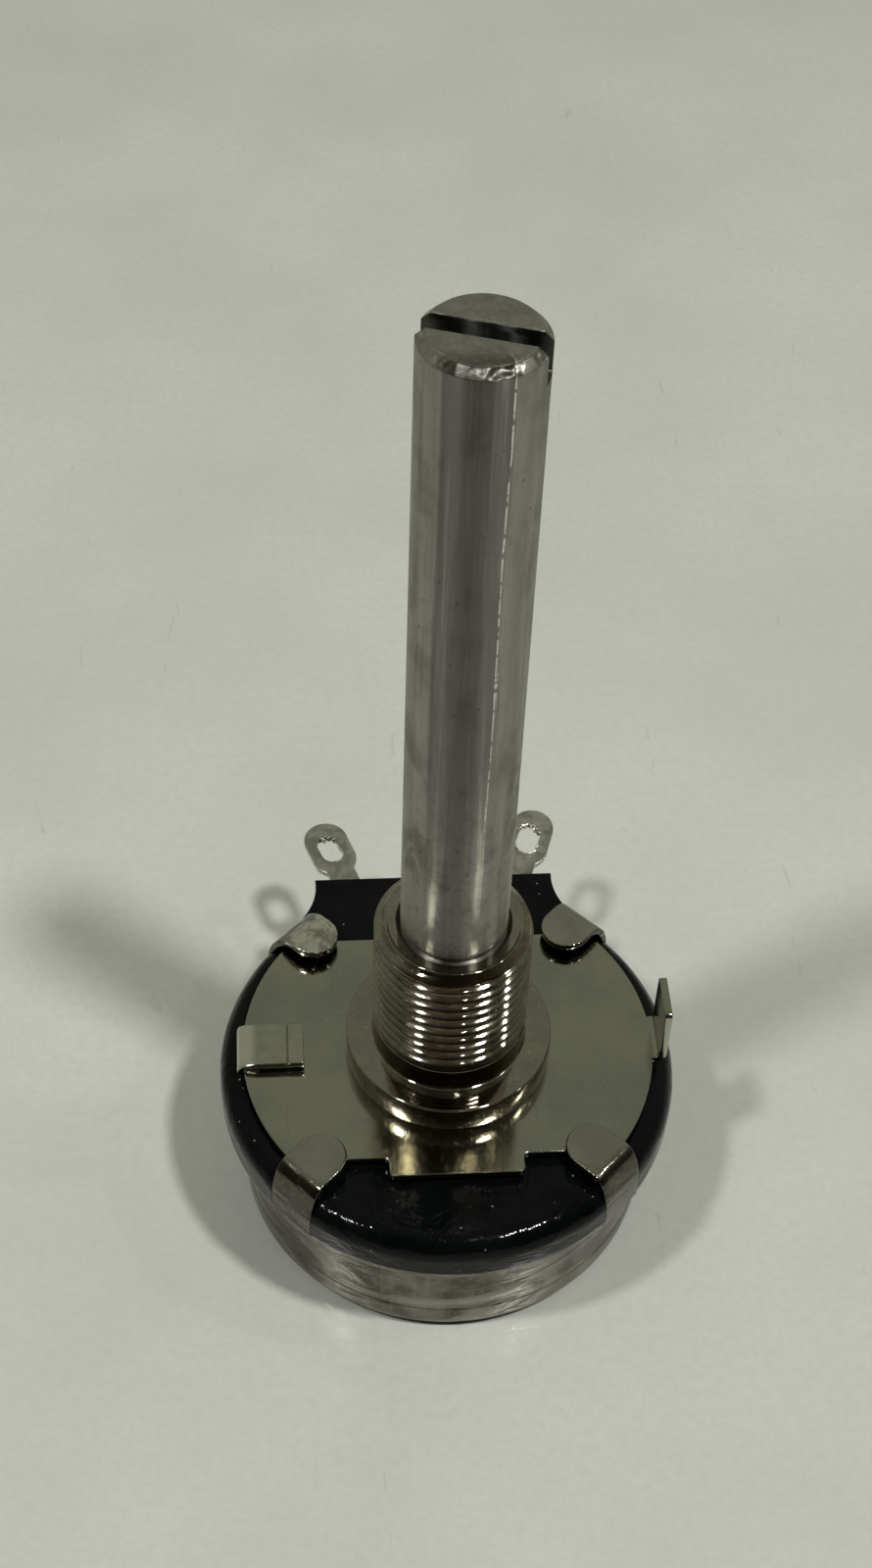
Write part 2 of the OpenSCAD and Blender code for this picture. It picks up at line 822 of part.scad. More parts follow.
module wiper_spring() {
    z_pad_top = z_contact_arm + spring_t;
    color("#c7a05a") {
        difference() {
            union() {
                translate([0, 0, z_rotor_top]) cylinder(r = spring_hub_r, h = spring_t);
                rotate([0, 0, -90]) wiper_arm(brush_track_r, brush_pad_len, z_brush_arm);
                rotate([0, 0, 90]) wiper_arm(contact_track_r, contact_pad_len, z_contact_arm);
            }
            translate([0, 0, z_rotor_top - over])
                linear_extrude(spring_t + 2 * over) tail_section(seat_clear);
            translate([0, 0, z_rotor_top - over]) pegs(2 * over + spring_t, peg_d + 2 * seat_clear);
            translate([0, -brush_track_r, z_brush_arm - over])
                cylinder(d = shank_d + 2 * seat_clear, h = spring_t + 2 * over);
        }
        // raised contact that runs on the collector ring
        translate([0, contact_track_r, z_pad_top - sink])
            cylinder(r1 = dimple_r, r2 = dimple_r / 2, h = dimple_r / 2 + sink);
    }
}

module contact_brush() {
    color("#26262a")
        translate([0, -brush_track_r, z_brush_arm]) {
            cylinder(d = shank_d, h = spring_t);
            translate([0, 0, spring_t]) cylinder(d = brush_d, h = brush_h);
        }
}

module stop_arm() {
    color("#8a8a84")
        translate([0, 0, z_stop])
            linear_extrude(stop_t)
                difference() {
                    union() {
                        circle(r = stop_hub_r);
                        translate([-stop_w / 2, -stop_arm_r]) square([stop_w, stop_arm_r]);
                    }
                    tail_section(seat_clear);
                }
}

module tail_washer() {
    color("#b3a06a")
        ring(z_tail_washer, tail_washer_t, tail_washer_r, tail_d / 2 + seat_clear);
}

// ---- The assembly --------------------------------------------------------

shaft();
retaining_ring();
thrust_washer();
bushing();
front_plate();
housing();
rear_cover();
terminal_left();
terminal_centre();
terminal_right();
rivet_left();
rivet_centre();
rivet_right();
resistive_element();
collector_ring();
rotor();
wiper_spring();
contact_brush();
stop_arm();
tail_washer();
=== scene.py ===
"""Looks of a rotary potentiometer with a long slotted shaft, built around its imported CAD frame.

The frame's origin is the centre of the rear face, +Z runs along the shaft and +Y points at
the terminals. Sizes below are in millimetres, and a mesh is scaled to metres when it is done.
"""

import json
import math

import bmesh
import bpy
from mathutils import Matrix, Vector, noise


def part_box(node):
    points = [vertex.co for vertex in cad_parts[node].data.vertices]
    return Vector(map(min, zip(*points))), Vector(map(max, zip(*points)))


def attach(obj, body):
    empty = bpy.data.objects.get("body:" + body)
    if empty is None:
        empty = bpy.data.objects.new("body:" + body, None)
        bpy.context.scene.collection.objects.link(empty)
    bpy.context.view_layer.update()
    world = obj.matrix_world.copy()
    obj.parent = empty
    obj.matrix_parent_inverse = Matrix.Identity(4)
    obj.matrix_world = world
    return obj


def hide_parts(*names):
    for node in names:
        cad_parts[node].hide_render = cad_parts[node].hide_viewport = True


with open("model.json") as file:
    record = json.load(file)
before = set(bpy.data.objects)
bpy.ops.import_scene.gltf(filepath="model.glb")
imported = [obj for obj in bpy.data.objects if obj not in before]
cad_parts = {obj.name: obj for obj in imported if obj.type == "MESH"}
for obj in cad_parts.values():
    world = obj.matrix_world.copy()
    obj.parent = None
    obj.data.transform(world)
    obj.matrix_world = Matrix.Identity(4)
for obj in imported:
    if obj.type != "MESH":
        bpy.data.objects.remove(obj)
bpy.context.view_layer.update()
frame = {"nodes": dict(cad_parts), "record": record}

MM = 0.001
# How far a cutting tool runs past what it cuts
OVER = 1


def low_of(node):
    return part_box(node)[0] / MM


def high_of(node):
    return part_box(node)[1] / MM


# ---- Sizes, from the frame's boxes where those give them ---------------------

SHAFT_R = high_of("shaft").x
Z_PIVOT = low_of("shaft").z
Z_END = high_of("shaft").z
Z_MOUTH = high_of("bushing").z
Z_BUSHING = low_of("bushing").z
COLLAR_R = high_of("bushing").x
CUP_H = 8.4
Z_RIM = low_of("rear_cover").z + CUP_H
PLATE_R = 12.1
Z_PLATE = low_of("front_plate").z
PLATE_T = 0.45
Z_PLATE_TOP = Z_PLATE + PLATE_T
COLLAR_H = 1.8
Z_MOUNT = Z_PLATE_TOP + COLLAR_H
Z_TERMINAL = low_of("terminal_left").z
TERMINAL_T = high_of("terminal_left").z - Z_TERMINAL
BLOCK_Y = high_of("housing").y

# Shaft
SHAFT_CHAMFER = 0.45
RELIEF_R = 2.8
RELIEF_W = 0.5
RELIEF_OUT = 0.2
SLOT_W = 1.1
SLOT_DEPTH = 2.0
SLOT_ANGLE = math.radians(-17)
GROOVE_R = 2.5
TAIL_R = 2.0
PIVOT_R = 1.5
STAKE_R = 2.45
STAKE_T = 0.5
SLOT_EDGE = 0.045
SLOT_EDGE_ANGLE = 42
END_MARK = 0.6
END_DEEP = 0.5
END_TILT = 0.3
STAIN_TOP = 24
CLEAN_FROM = 44
Z_TAIL_WASHER = low_of("tail_washer").z
Z_SHOULDER = high_of("rotor").z + 0.15
Z_CLIP = low_of("retaining_ring").z
CLIP_T = high_of("retaining_ring").z - Z_CLIP

# Bushing
BORE_R = 3.03
THREAD_R = 4.45
PITCH = 0.75
THREAD_DEPTH = 0.42
NECK_H = 1.55
MOUTH_R = 3.85
MOUTH_H = 0.45
SPIGOT_R = 4.1
RIVET_RIM_R = 4.8
THREAD_STOP = 0.06
THREAD_RUN_IN = 0.6
LIP_W = 0.16
LIP_SINK = 0.05
BORE_CONE_W = 0.20
BORE_CONE_H = 0.30

# Front plate and its lugs
FRONT_CHORD = 7.75
BACK_CHORD = 8.0
HOLE_CLEAR = 0.02
TONGUE_HALF = 3.85
TONGUE_Y = 8.96
TONGUE_ROUND = 0.3
LUG_HALF = 1.5
LUG_ROUND = 0.35
LUG_HEIGHT = 4.45
LUG_BEND_R = 0.2
STAND_OUT = 0.1
FOLD_IN = 0.15
FOLD_LEN = 3.45
FOLD_GAP = 0.06
FOLD_TWIST = math.radians(3.5)
CREASE_IN = 0.95
CREASE_DEEP = 0.09
FOLD_CORNER = 0.12
FOLD_RISE = 0.8
FOLD_WAVE = 0.02
LUG_ROOT = 0.9
BEND_LEAD = 0.05
STAND_EDGE = 0.05
SHEET_EDGE = 0.06

# Cover
COVER_T = 0.45
CUP_R = 12.25
CUP_ROUND = 1.0
RIM_R = 13.45
RIM_ROUND = 0.3
CREASE_Z = 2.2
CREASE_HALF = 0.09
CREASE_IN_WALL = 0.05
STRAP_HALF = 1.5
STRAP_TIP = 9.45
STRAP_RISE = 0.9
STRAP_LIFT = 0.5
STRAP_ROOT = 0.03
STRAP_EDGE = 0.07
STRAP_WAVE = 0.02
RING_R = high_of("housing").x
# Turn about the axis, how far in the bend starts, lift of the tip and its crumpling
STRAPS = (
    (-135, 1.3, 0.0, 0.0),
    (-45, 1.3, 0.0, 0.0),
    (45, 1.8, STRAP_LIFT, 0.05),
    (135, 2.2, STRAP_LIFT, 0.30),
)

# Terminals
STEM_HALF = 0.875
EYE_Y = 3.75
EYE_HALF = 1.4
EYE_LEN = 4.4
HOLE_HALF = 0.75
HOLE_LEN = 2.3
RIVET_R = 0.47
FAN = math.radians(19)
LIFT = math.radians(8)
TERM_PITCH = 5.2
LIFT_BEND = 0.2
BURR_SINK = 0.02
BURR_LEAN = 0.03
# Name, place, turn, lift, seed and roughness of the eye's torn side
TERMINALS = (
    ("left", -TERM_PITCH, FAN, 0, 3.1, 1.0),
    ("centre", 0, 0, 0, 7.7, 0.8),
    ("right", TERM_PITCH, -FAN, LIFT, 5.3, 1.0),
)

# Housing
HOUSING_EDGE = 0.09
HOUSING_EDGE_ANGLE = 35


# ---- Mesh tools --------------------------------------------------------------

# Columns across a bent strip
ACROSS = 8
# Least share of a normal where an outline turns sharply
SHARPEST = 0.4
# Degrees under which neighbouring faces are one face
FLAT_ANGLE = 0.4
# Spread of a crease and spacing of the points across it
CREASE_SPREAD = 0.05
CREASE_STEP = 0.02


def rounded(corners, steps=4):
    """A closed outline from (x, y, radius) corners, with an arc at each radius."""
    points = []
    for i, (x, y, r) in enumerate(corners):
        corner = Vector((x, y))
        before = Vector(corners[i - 1][:2]) - corner
        after = Vector(corners[(i + 1) % len(corners)][:2]) - corner
        if r <= 0 or before.length < 1e-6 or after.length < 1e-6:
            points.append(corner)
            continue
        before.normalize()
        after.normalize()
        half = before.angle(after) / 2
        if half > math.radians(88):
            points.append(corner)
            continue
        centre = corner + (before + after).normalized() * r / math.sin(half)
        start = corner + before * r / math.tan(half) - centre
        end = corner + after * r / math.tan(half) - centre
        turn = start.angle_signed(end)
        for k in range(steps + 1):
            points.append(centre + Matrix.Rotation(-turn * k / steps, 2) @ start)
    return points


class Shape:
    """Points and faces that grow into one mesh."""

    def __init__(self):
        self.points = []
        self.faces = []

    def add(self, point):
        self.points.append(Vector(point))
        return len(self.points) - 1

    def grid(self, rows, closed_rows=False, closed_columns=False, shift=0):
        """Quads over rows of equal length; shift slips the rows where the grid closes."""
        index = [[self.add(p) for p in row] for row in rows]
        n, m = len(index), len(index[0])
        for i in range(n if closed_rows else n - 1):
            last = i == n - 1
            slip = shift if last else 0
            for j in range(m if closed_columns else m - 1):
                k = (j + 1) % m
                if j + slip + 1 >= m + (1 if closed_columns else 0):
                    continue
                a, b = index[i], index[(i + 1) % n]
                self.faces.append((a[j], b[(j + slip) % m], b[(k + slip) % m], a[k]))

    def cap(self, ring):
        self.faces.append([self.add(p) for p in ring])

    def lathe(self, outline, steps, closed=True):
        rows = []
        for i in range(steps):
            a = 2 * math.pi * i / steps
            rows.append([(p[0] * math.cos(a), p[0] * math.sin(a), p[1]) for p in outline])
        self.grid(rows, closed_rows=True, closed_columns=closed)

    def mesh(self, name, join=1e-4):
        mesh = bpy.data.meshes.new(name)
        bm = bmesh.new()
        verts = [bm.verts.new(p) for p in self.points]
        for face in self.faces:
            corners = []
            for v in face:
                if verts[v] not in corners:
                    corners.append(verts[v])
            if len(corners) > 2:
                bm.faces.new(corners)
        bmesh.ops.remove_doubles(bm, verts=bm.verts, dist=join)
        bmesh.ops.dissolve_degenerate(bm, edges=bm.edges, dist=join)
        bmesh.ops.recalc_face_normals(bm, faces=bm.faces)
        bm.to_mesh(mesh)
        bm.free()
        return mesh


def prism(name, ends):
    """A solid between two outlines that match point for point."""
    shape = Shape()
    shape.grid(ends, closed_columns=True)
    for end in ends:
        shape.cap(end)
    return shape.mesh(name)


def linked(name, data):
    """A new object in the scene."""
    made = bpy.data.objects.new(name, data)
    bpy.context.scene.collection.objects.link(made)
    return made


def combined(name, base, others, operation):
    """One solid from several, by an exact union or difference."""
    holder = linked(name, base)
    for other in others:
        tool = linked(name + "_tool", other)
        mod = holder.modifiers.new("join", "BOOLEAN")
        mod.operation = operation
        mod.solver = "MANIFOLD"
        mod.object = tool
        bpy.context.view_layer.update()
        graph = bpy.context.evaluated_depsgraph_get()
        made = bpy.data.meshes.new_from_object(holder.evaluated_get(graph))
        holder.modifiers.clear()
        holder.data = made
        bpy.data.objects.remove(tool)
    made = holder.data
    bpy.data.objects.remove(holder)
    return made


def bevelled(mesh, width, angle):
    """The mesh with each edge sharper than the angle rounded by two steps."""
    bm = bmesh.new()
    bm.from_mesh(mesh)
    bmesh.ops.dissolve_limit(bm, angle_limit=math.radians(FLAT_ANGLE), verts=bm.verts,
                             edges=bm.edges)
    limit = math.radians(angle)
    sharp = [e for e in bm.edges if e.is_manifold and e.calc_face_angle(0) > limit]
    bmesh.ops.bevel(bm, geom=sharp, offset=width, segments=2, profile=0.5,
                    affect="EDGES", clamp_overlap=False)
    bmesh.ops.recalc_face_normals(bm, faces=bm.faces)
    bm.to_mesh(mesh)
    bm.free()
    return mesh


def inset_loop(loop, inset):
    """A counter-clockwise outline moved inwards by the same amount everywhere."""
    moved = []
    for i, p in enumerate(loop):
        before = (p - loop[i - 1]).normalized()
        after = (loop[(i + 1) % len(loop)] - p).normalized()
        a = Vector((-before.y, before.x))
        b = Vector((-after.y, after.x))
        middle = (a + b).normalized()
        moved.append(p + middle * inset / max(middle.dot(a), SHARPEST))
    return moved


def rounded_edge(thickness, r, steps=3):
    """(inset, height) pairs through a sheet with rounded edges, height from its middle."""
    quarter = [math.pi / 2 * k / steps for k in range(steps + 1)]
    low = [(r * (1 - math.sin(a)), r * (1 - math.cos(a)) - thickness / 2) for a in quarter]
    return low + [(inset, -height) for inset, height in reversed(low)]


def rungs(ring):
    """Rows of points across a strip's face, from the ring of points around it."""
    n = (len(ring) - 2 * (ACROSS - 1)) // 2
    near, tip = ring[:n], ring[n:n + ACROSS - 1]
    far, root = ring[n + ACROSS - 1:2 * n + ACROSS - 1], ring[2 * n + ACROSS - 1:]
    far.reverse()
    root.reverse()
    rows = []
    for i in range(n):
        middle = [near[i].lerp(far[i], k / ACROSS) for k in range(1, ACROSS)]
        if i == 0:
            middle = root
        if i == n - 1:
            middle = tip
        rows.append([near[i]] + middle + [far[i]])
    return rows


def sheet(loop, thickness, r, place, ladder=False):
    """A sheet with rounded edges from an outline, each point placed by place(x, y, height)."""
    shape = Shape()
    rings = []
    for inset, height in rounded_edge(thickness, r):
        rings.append([place(p.x, p.y, height) for p in inset_loop(loop, inset)])
    shape.grid(rings, closed_columns=True)
    for ring in (rings[0], rings[-1]):
        if ladder:
            shape.grid(rungs([Vector(p) for p in ring]))
        else:
            shape.cap(ring)
    return shape


def strip_loop(length, half, corner, marks=(), step=0.15):
    """Outline of a strip from u = 0 to its end, rounded by corner; marks get more points."""
    stations = {round(k * step, 4) for k in range(int((length - corner) / step) + 1)}
    for mark in marks:
        stations.update(round(mark + CREASE_STEP * k, 4) for k in range(-6, 7))
    side = [(u, half) for u in sorted(stations)]
    turns = max(int(corner / 0.06), 4)
    for k in range(1, turns):
        a = math.pi / 2 * k / turns
        side.append((length - corner + corner * math.sin(a),
                     half - corner + corner * math.cos(a)))
    near = [Vector((u, -w)) for u, w in side]
    far = [Vector((u, w)) for u, w in reversed(side)]
    tip = [near[-1].lerp(far[0], k / ACROSS) for k in range(1, ACROSS)]
    root = [far[-1].lerp(near[0], k / ACROSS) for k in range(1, ACROSS)]
    return near + tip + far + root


def follower(line, marks=(), depth=0):
    """Maps a length along a line and a height off it to a place, and gives the line's length.

    Marks are creases, cut into the side of the line that the sign of depth names.
    """
    points = [Vector(p) for p in line]
    along = [0.0]
    for a, b in zip(points, points[1:]):
        along.append(along[-1] + (b - a).length)
    normals = []
    for i in range(len(points)):
        d = points[min(i + 1, len(points) - 1)] - points[max(i - 1, 0)]
        normals.append(Vector((-d.y, d.x)).normalized())

    def at(u, height):
        i = 0
        while i < len(points) - 2 and u > along[i + 1]:
            i += 1
        share = (u - along[i]) / (along[i + 1] - along[i])
        clear = min(max(share, 0), 1)
        normal = normals[i].lerp(normals[i + 1], clear).normalized()
        for mark in marks:
            if height * depth > 0:
                height -= depth * math.exp(-((u - mark) / CREASE_SPREAD) ** 2)
        return points[i].lerp(points[i + 1], share) + normal * height

    return at, along[-1]


def arc(centre, r, start, end, steps):
    """Points on an arc, angles in degrees."""
    made = []
    for k in range(steps + 1):
        a = math.radians(start + (end - start) * k / steps)
        made.append((centre[0] + r * math.cos(a), centre[1] + r * math.sin(a)))
    return made


def around_z(degrees):
    return Matrix.Rotation(math.radians(degrees), 4, "Z")


def strip_mesh(name, line, half, corner, thickness, r, spin, marks=(), depth=0):
    """A bent strip of sheet whose line runs outwards and up, turned about the axis."""
    at, length = follower(line, marks, depth)

    def place(u, w, height):
        out, up = at(u, height)
        return (out, w, up)

    outline = strip_loop(length, half, corner, marks)
    mesh = sheet(outline, thickness, r, place, ladder=True).mesh(name)
    mesh.transform(around_z(spin))
    return mesh


def disc_cutter(name, r, low, high, at=(0, 0)):
    """A round tool that cuts a hole from low to high."""
    shape = Shape()
    outline = [(0, low), (r, low), (r, high), (0, high)]
    shape.lathe(outline, 48, closed=False)
    mesh = shape.mesh(name)
    mesh.transform(Matrix.Translation((at[0], at[1], 0)))
    return mesh


def piece(name, mesh, material, body, replaced, sharp=35, weighted=False):
    """Puts a mesh made in millimetres into the scene as a finished piece."""
    mesh.transform(Matrix.Scale(MM, 4))
    mesh.name = name
    mesh.materials.clear()
    mesh.materials.append(material)
    mesh.shade_smooth()
    mesh.set_sharp_from_angle(angle=math.radians(sharp))
    made = linked(name, mesh)
    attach(made, body)
    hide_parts(*replaced)
    if weighted:
        mod = made.modifiers.new("even_normals", "WEIGHTED_NORMAL")
        mod.keep_sharp = True
    return made


# ---- Bushing -----------------------------------------------------------------

def barrel_r(z):
    """Radius of the barrel before its thread is cut, with the chamfer at the mouth."""
    z_chamfer = Z_MOUTH - MOUTH_H
    if z <= z_chamfer:
        return THREAD_R
    return THREAD_R - (z - z_chamfer) / MOUTH_H * (THREAD_R - MOUTH_R)


def thread_cut(phase):
    """Depth of the 60 degree thread at a place in its pitch, from the crest at 0."""
    away = abs((phase + 0.5) % 1 - 0.5)
    crest, root, blend = 0.0625, 0.375, 0.12
    share = min(max((away - crest) / (root - crest), 0), 1)
    if share < blend:
        share = share * share / (2 * blend)
    elif share > 1 - blend:
        share = 1 - blend - (1 - share) ** 2 / (2 * blend)
    else:
        share -= blend / 2
    return THREAD_DEPTH * share / (1 - blend)


def bushing_mesh():
    """Barrel with its helix, then the mouth, bore, riveted rim, collar and neck as one lathe."""
    steps, rows_per_pitch = 144, 16
    z_low, z_high = Z_MOUNT + NECK_H, Z_MOUTH - THREAD_STOP
    turns = math.ceil((z_high - z_low) / PITCH) + 2
    count = turns * rows_per_pitch
    rows = []
    for i in range(steps):
        turn = i / steps
        a = 2 * math.pi * turn
        row = []
        for k in range(count + 1):
            z = z_low + PITCH * (k / rows_per_pitch - 1 + turn)
            phase = k / rows_per_pitch
            ease = min(max((z - z_low) / (THREAD_RUN_IN * PITCH), 0), 1)
            z = min(max(z, z_low), z_high)
            r = barrel_r(z)
            cut = THREAD_R - thread_cut(phase) * ease * ease * (3 - 2 * ease)
            if z < z_high:
                r = min(r, cut)
            row.append((r * math.cos(a), r * math.sin(a), z))
        rows.append(row)
    shape = Shape()
    shape.grid(rows, closed_rows=True, shift=rows_per_pitch)
    r_high = barrel_r(z_high)
    outline = rounded([
        (r_high, z_high, 0),
        (MOUTH_R, Z_MOUTH, 0.07),
        (MOUTH_R - LIP_W, Z_MOUTH - LIP_SINK, 0.05),
        (BORE_R + BORE_CONE_W, Z_MOUTH - LIP_SINK, 0.05),
        (BORE_R, Z_MOUTH - BORE_CONE_H, 0.05),
        (BORE_R, Z_BUSHING, 0.05),
        (RIVET_RIM_R, Z_BUSHING, 0.2),
        (RIVET_RIM_R, Z_PLATE, 0),
        (SPIGOT_R, Z_PLATE, 0),
        (SPIGOT_R, Z_PLATE_TOP, 0),
        (COLLAR_R, Z_PLATE_TOP, 0.06),
        (COLLAR_R, Z_MOUNT, 0.10),
        (THREAD_R, Z_MOUNT, 0.14),
        (THREAD_R, z_low, 0),
    ])
    shape.lathe(outline, steps, closed=False)
    return shape.mesh("bushing")


# ---- Shaft -------------------------------------------------------------------

def shaft_mesh():
    """Turned shaft with its staked tail, clip groove, relief, chamfer and slot."""
    steps = 120
    z_relief = Z_MOUTH + RELIEF_OUT - RELIEF_W
    outline = rounded([
        (0, Z_PIVOT, 0),
        (PIVOT_R, Z_PIVOT, 0.2),
        (PIVOT_R, Z_TAIL_WASHER - STAKE_T, 0.05),
        (STAKE_R, Z_TAIL_WASHER - STAKE_T, 0.2),
        (STAKE_R, Z_TAIL_WASHER, 0.05),
        (TAIL_R, Z_TAIL_WASHER, 0),
        (TAIL_R, Z_SHOULDER, 0),
        (SHAFT_R, Z_SHOULDER, 0.1),
        (SHAFT_R, Z_CLIP, 0.03),
        (GROOVE_R, Z_CLIP, 0.03),
        (GROOVE_R, Z_CLIP + CLIP_T, 0.03),
        (SHAFT_R, Z_CLIP + CLIP_T, 0.03),
        (SHAFT_R, z_relief, 0.05),
        (RELIEF_R, z_relief, 0.08),
        (RELIEF_R, z_relief + RELIEF_W, 0.08),
        (SHAFT_R, z_relief + RELIEF_W, 0.05),
        (SHAFT_R, Z_END - SLOT_DEPTH - END_MARK, 0),
        (SHAFT_R, Z_END - SLOT_DEPTH + END_MARK, 0),
        (SHAFT_R, Z_END - SHAFT_CHAMFER, 0.12),
        (SHAFT_R - SHAFT_CHAMFER, Z_END, 0.06),
        (1.2, Z_END, 0),
        (0, Z_END, 0),
    ])
    body = Shape()
    body.lathe(outline, steps, closed=False)
    half, long = SLOT_W / 2, SHAFT_R * 1.4
    floor = Z_END - SLOT_DEPTH
    section = rounded([
        (-half, floor, 0.12),
        (half, floor, 0.12),
        (half, Z_END + OVER, 0),
        (-half, Z_END + OVER, 0),
    ], 3)
    ends = [[(x, p[0], p[1]) for p in section] for x in (-long, long)]
    cut = combined("shaft", body.mesh("shaft"), [prism("slot", ends)], "DIFFERENCE")
    cut = bevelled(cut, SLOT_EDGE, SLOT_EDGE_ANGLE)
    cut.transform(Matrix.Rotation(SLOT_ANGLE, 4, "Z"))
    return cut


# ---- Front plate -------------------------------------------------------------

def plate_loop():
    """Disc with a flat at the front and the back, and the tongue at the front."""
    front = math.degrees(math.asin(FRONT_CHORD / PLATE_R))
    back = math.degrees(math.asin(BACK_CHORD / PLATE_R))
    right = [(x, y, 0) for x, y in arc((0, 0), PLATE_R, -front, back, 60)]
    left = [(x, y, 0) for x, y in arc((0, 0), PLATE_R, 180 - back, 180 + front, 60)]
    tongue = [
        (-TONGUE_HALF, -FRONT_CHORD, TONGUE_ROUND),
        (-TONGUE_HALF, -TONGUE_Y, TONGUE_ROUND),
        (TONGUE_HALF, -TONGUE_Y, TONGUE_ROUND),
        (TONGUE_HALF, -FRONT_CHORD, TONGUE_ROUND),
    ]
    return rounded(left + tongue + right, 5)


def standing_lug():
    """Lug bent up from the plate's right edge."""
    z_mid = Z_PLATE + PLATE_T / 2
    x_bend = PLATE_R + STAND_OUT
    r = LUG_BEND_R + PLATE_T / 2
    line = [(PLATE_R - LUG_ROOT, z_mid), (x_bend - BEND_LEAD, z_mid)]
    line += arc((x_bend, z_mid + r), r, -90, 0, 8)
    line += [(x_bend + r, Z_PLATE + LUG_HEIGHT)]
    return strip_mesh("standing", line, LUG_HALF, LUG_ROUND, PLATE_T, STAND_EDGE, 0)


def folded_lug():
    """Lug folded back flat over the plate's left edge, a little twisted and creased."""
    z_mid = Z_PLATE + PLATE_T / 2
    x_bend = PLATE_R - FOLD_IN
    r = (FOLD_GAP + PLATE_T) / 2
    line = [(x_bend - LUG_ROOT, z_mid), (x_bend - BEND_LEAD, z_mid)]
    line += arc((x_bend, z_mid + r), r, -90, 90, 12)
    line += [(x_bend - BEND_LEAD, z_mid + 2 * r), (x_bend - FOLD_LEN, z_mid + 2 * r)]
    mark = follower(line)[1] - CREASE_IN
    mesh = strip_mesh("folded", line, LUG_HALF, FOLD_CORNER, PLATE_T, SHEET_EDGE, 180,
                      (mark,), -CREASE_DEEP)
    for v in mesh.vertices:
        if v.co.z > Z_PLATE_TOP:
            share = min(max((v.co.x + PLATE_R) / FOLD_RISE, 0), 1)
            v.co.z += share * (LUG_HALF - v.co.y) * math.tan(FOLD_TWIST)
            v.co.z += share * FOLD_WAVE * noise.noise(v.co * 0.9)
    return mesh


def plate_mesh():
    """The plate with the bushing's hole and both lugs."""
    z_mid = Z_PLATE + PLATE_T / 2
    flat = sheet(plate_loop(), PLATE_T, SHEET_EDGE, lambda x, y, h: (x, y, z_mid + h))
    hole = disc_cutter("hole", SPIGOT_R + HOLE_CLEAR, Z_PLATE - OVER, Z_PLATE + OVER)
    flat = combined("plate", flat.mesh("plate"), [hole], "DIFFERENCE")
    return combined("plate", flat, [standing_lug(), folded_lug()], "UNION")


# ---- Cover -------------------------------------------------------------------

def strap_mesh(spin, bend_in, lift, crumple):
    """From the rim up the ring's side, over its shoulder and level to a round tip."""
    x_side = RIM_R - COVER_T / 2
    x_bend = RING_R - bend_in
    z_low = Z_RIM + STRAP_RISE
    z_top = Z_PLATE_TOP + lift + COVER_T / 2
    steps = 24
    line = [(-x_side, Z_RIM - COVER_T + STRAP_ROOT)]
    for k in range(steps, -1, -1):
        a = math.radians(90 * k / steps)
        out = x_bend + (x_side - x_bend) * math.sin(a)
        line.append((-out, z_low + (z_top - z_low) * math.cos(a)))
    line.append((-STRAP_TIP, z_top))
    mesh = strip_mesh("strap", line, STRAP_HALF, STRAP_HALF - 0.01, COVER_T, STRAP_EDGE,
                      spin + 180)
    for v in mesh.vertices:
        share = min(max(v.co.z - Z_PLATE, 0), 1)
        wave = noise.noise(Vector((v.co.x * 0.8, v.co.y * 0.8, spin)))
        fold = noise.noise(Vector((v.co.x * 1.6, v.co.y * 1.6, spin + 9)))
        v.co.z += share * (STRAP_WAVE * wave + crumple * (max(wave, 0) + 0.5 * abs(fold)))
    return mesh


def cover_mesh():
    """Drawn cup with its bottom bead and rim, and the four straps."""
    z_rim_low = Z_RIM - COVER_T
    outline = rounded([
        (0, 0, 0),
        (CUP_R, 0, CUP_ROUND),
        (CUP_R, CREASE_Z - CREASE_HALF, 0.05),
        (CUP_R - CREASE_IN_WALL, CREASE_Z, 0.03),
        (CUP_R, CREASE_Z + CREASE_HALF, 0.05),
        (CUP_R, z_rim_low, RIM_ROUND),
        (RIM_R, z_rim_low, 0.08),
        (RIM_R, Z_RIM, 0.06),
        (CUP_R - COVER_T, Z_RIM, RIM_ROUND + COVER_T),
        (CUP_R - COVER_T, COVER_T, CUP_ROUND - COVER_T),
        (0, COVER_T, 0),
    ], 6)
    cup = Shape()
    cup.lathe(outline, 180, closed=False)
    straps = [strap_mesh(*strap) for strap in STRAPS]
    return combined("cover", cup.mesh("cup"), straps, "UNION")


# ---- Terminals ---------------------------------------------------------------

def terminal_loop(rivet_in):
    """Plan of a terminal: a round inner end, a stem and a long eye."""
    low_eye = EYE_Y - EYE_LEN / 2 + EYE_HALF
    high_eye = EYE_Y + EYE_LEN / 2 - EYE_HALF
    meet = math.degrees(math.acos(STEM_HALF / EYE_HALF))
    y_meet = low_eye - EYE_HALF * math.sin(math.radians(meet))
    right = [(STEM_HALF, -0.2, 0), (STEM_HALF, y_meet, 0.35)]
    right += [(x, y, 0) for x, y in arc((0, low_eye), EYE_HALF, 8 - meet, 0, 8)]
    top = [(x, y, 0) for x, y in arc((0, high_eye), EYE_HALF, 0, 180, 32)]
    left = [(-x, y, r) for x, y, r in reversed(right)]
    inner = [(x, y, 0) for x, y in arc((0, -rivet_in), STEM_HALF, 180, 360, 20)]
    return rounded(right + top + left + inner, 4)


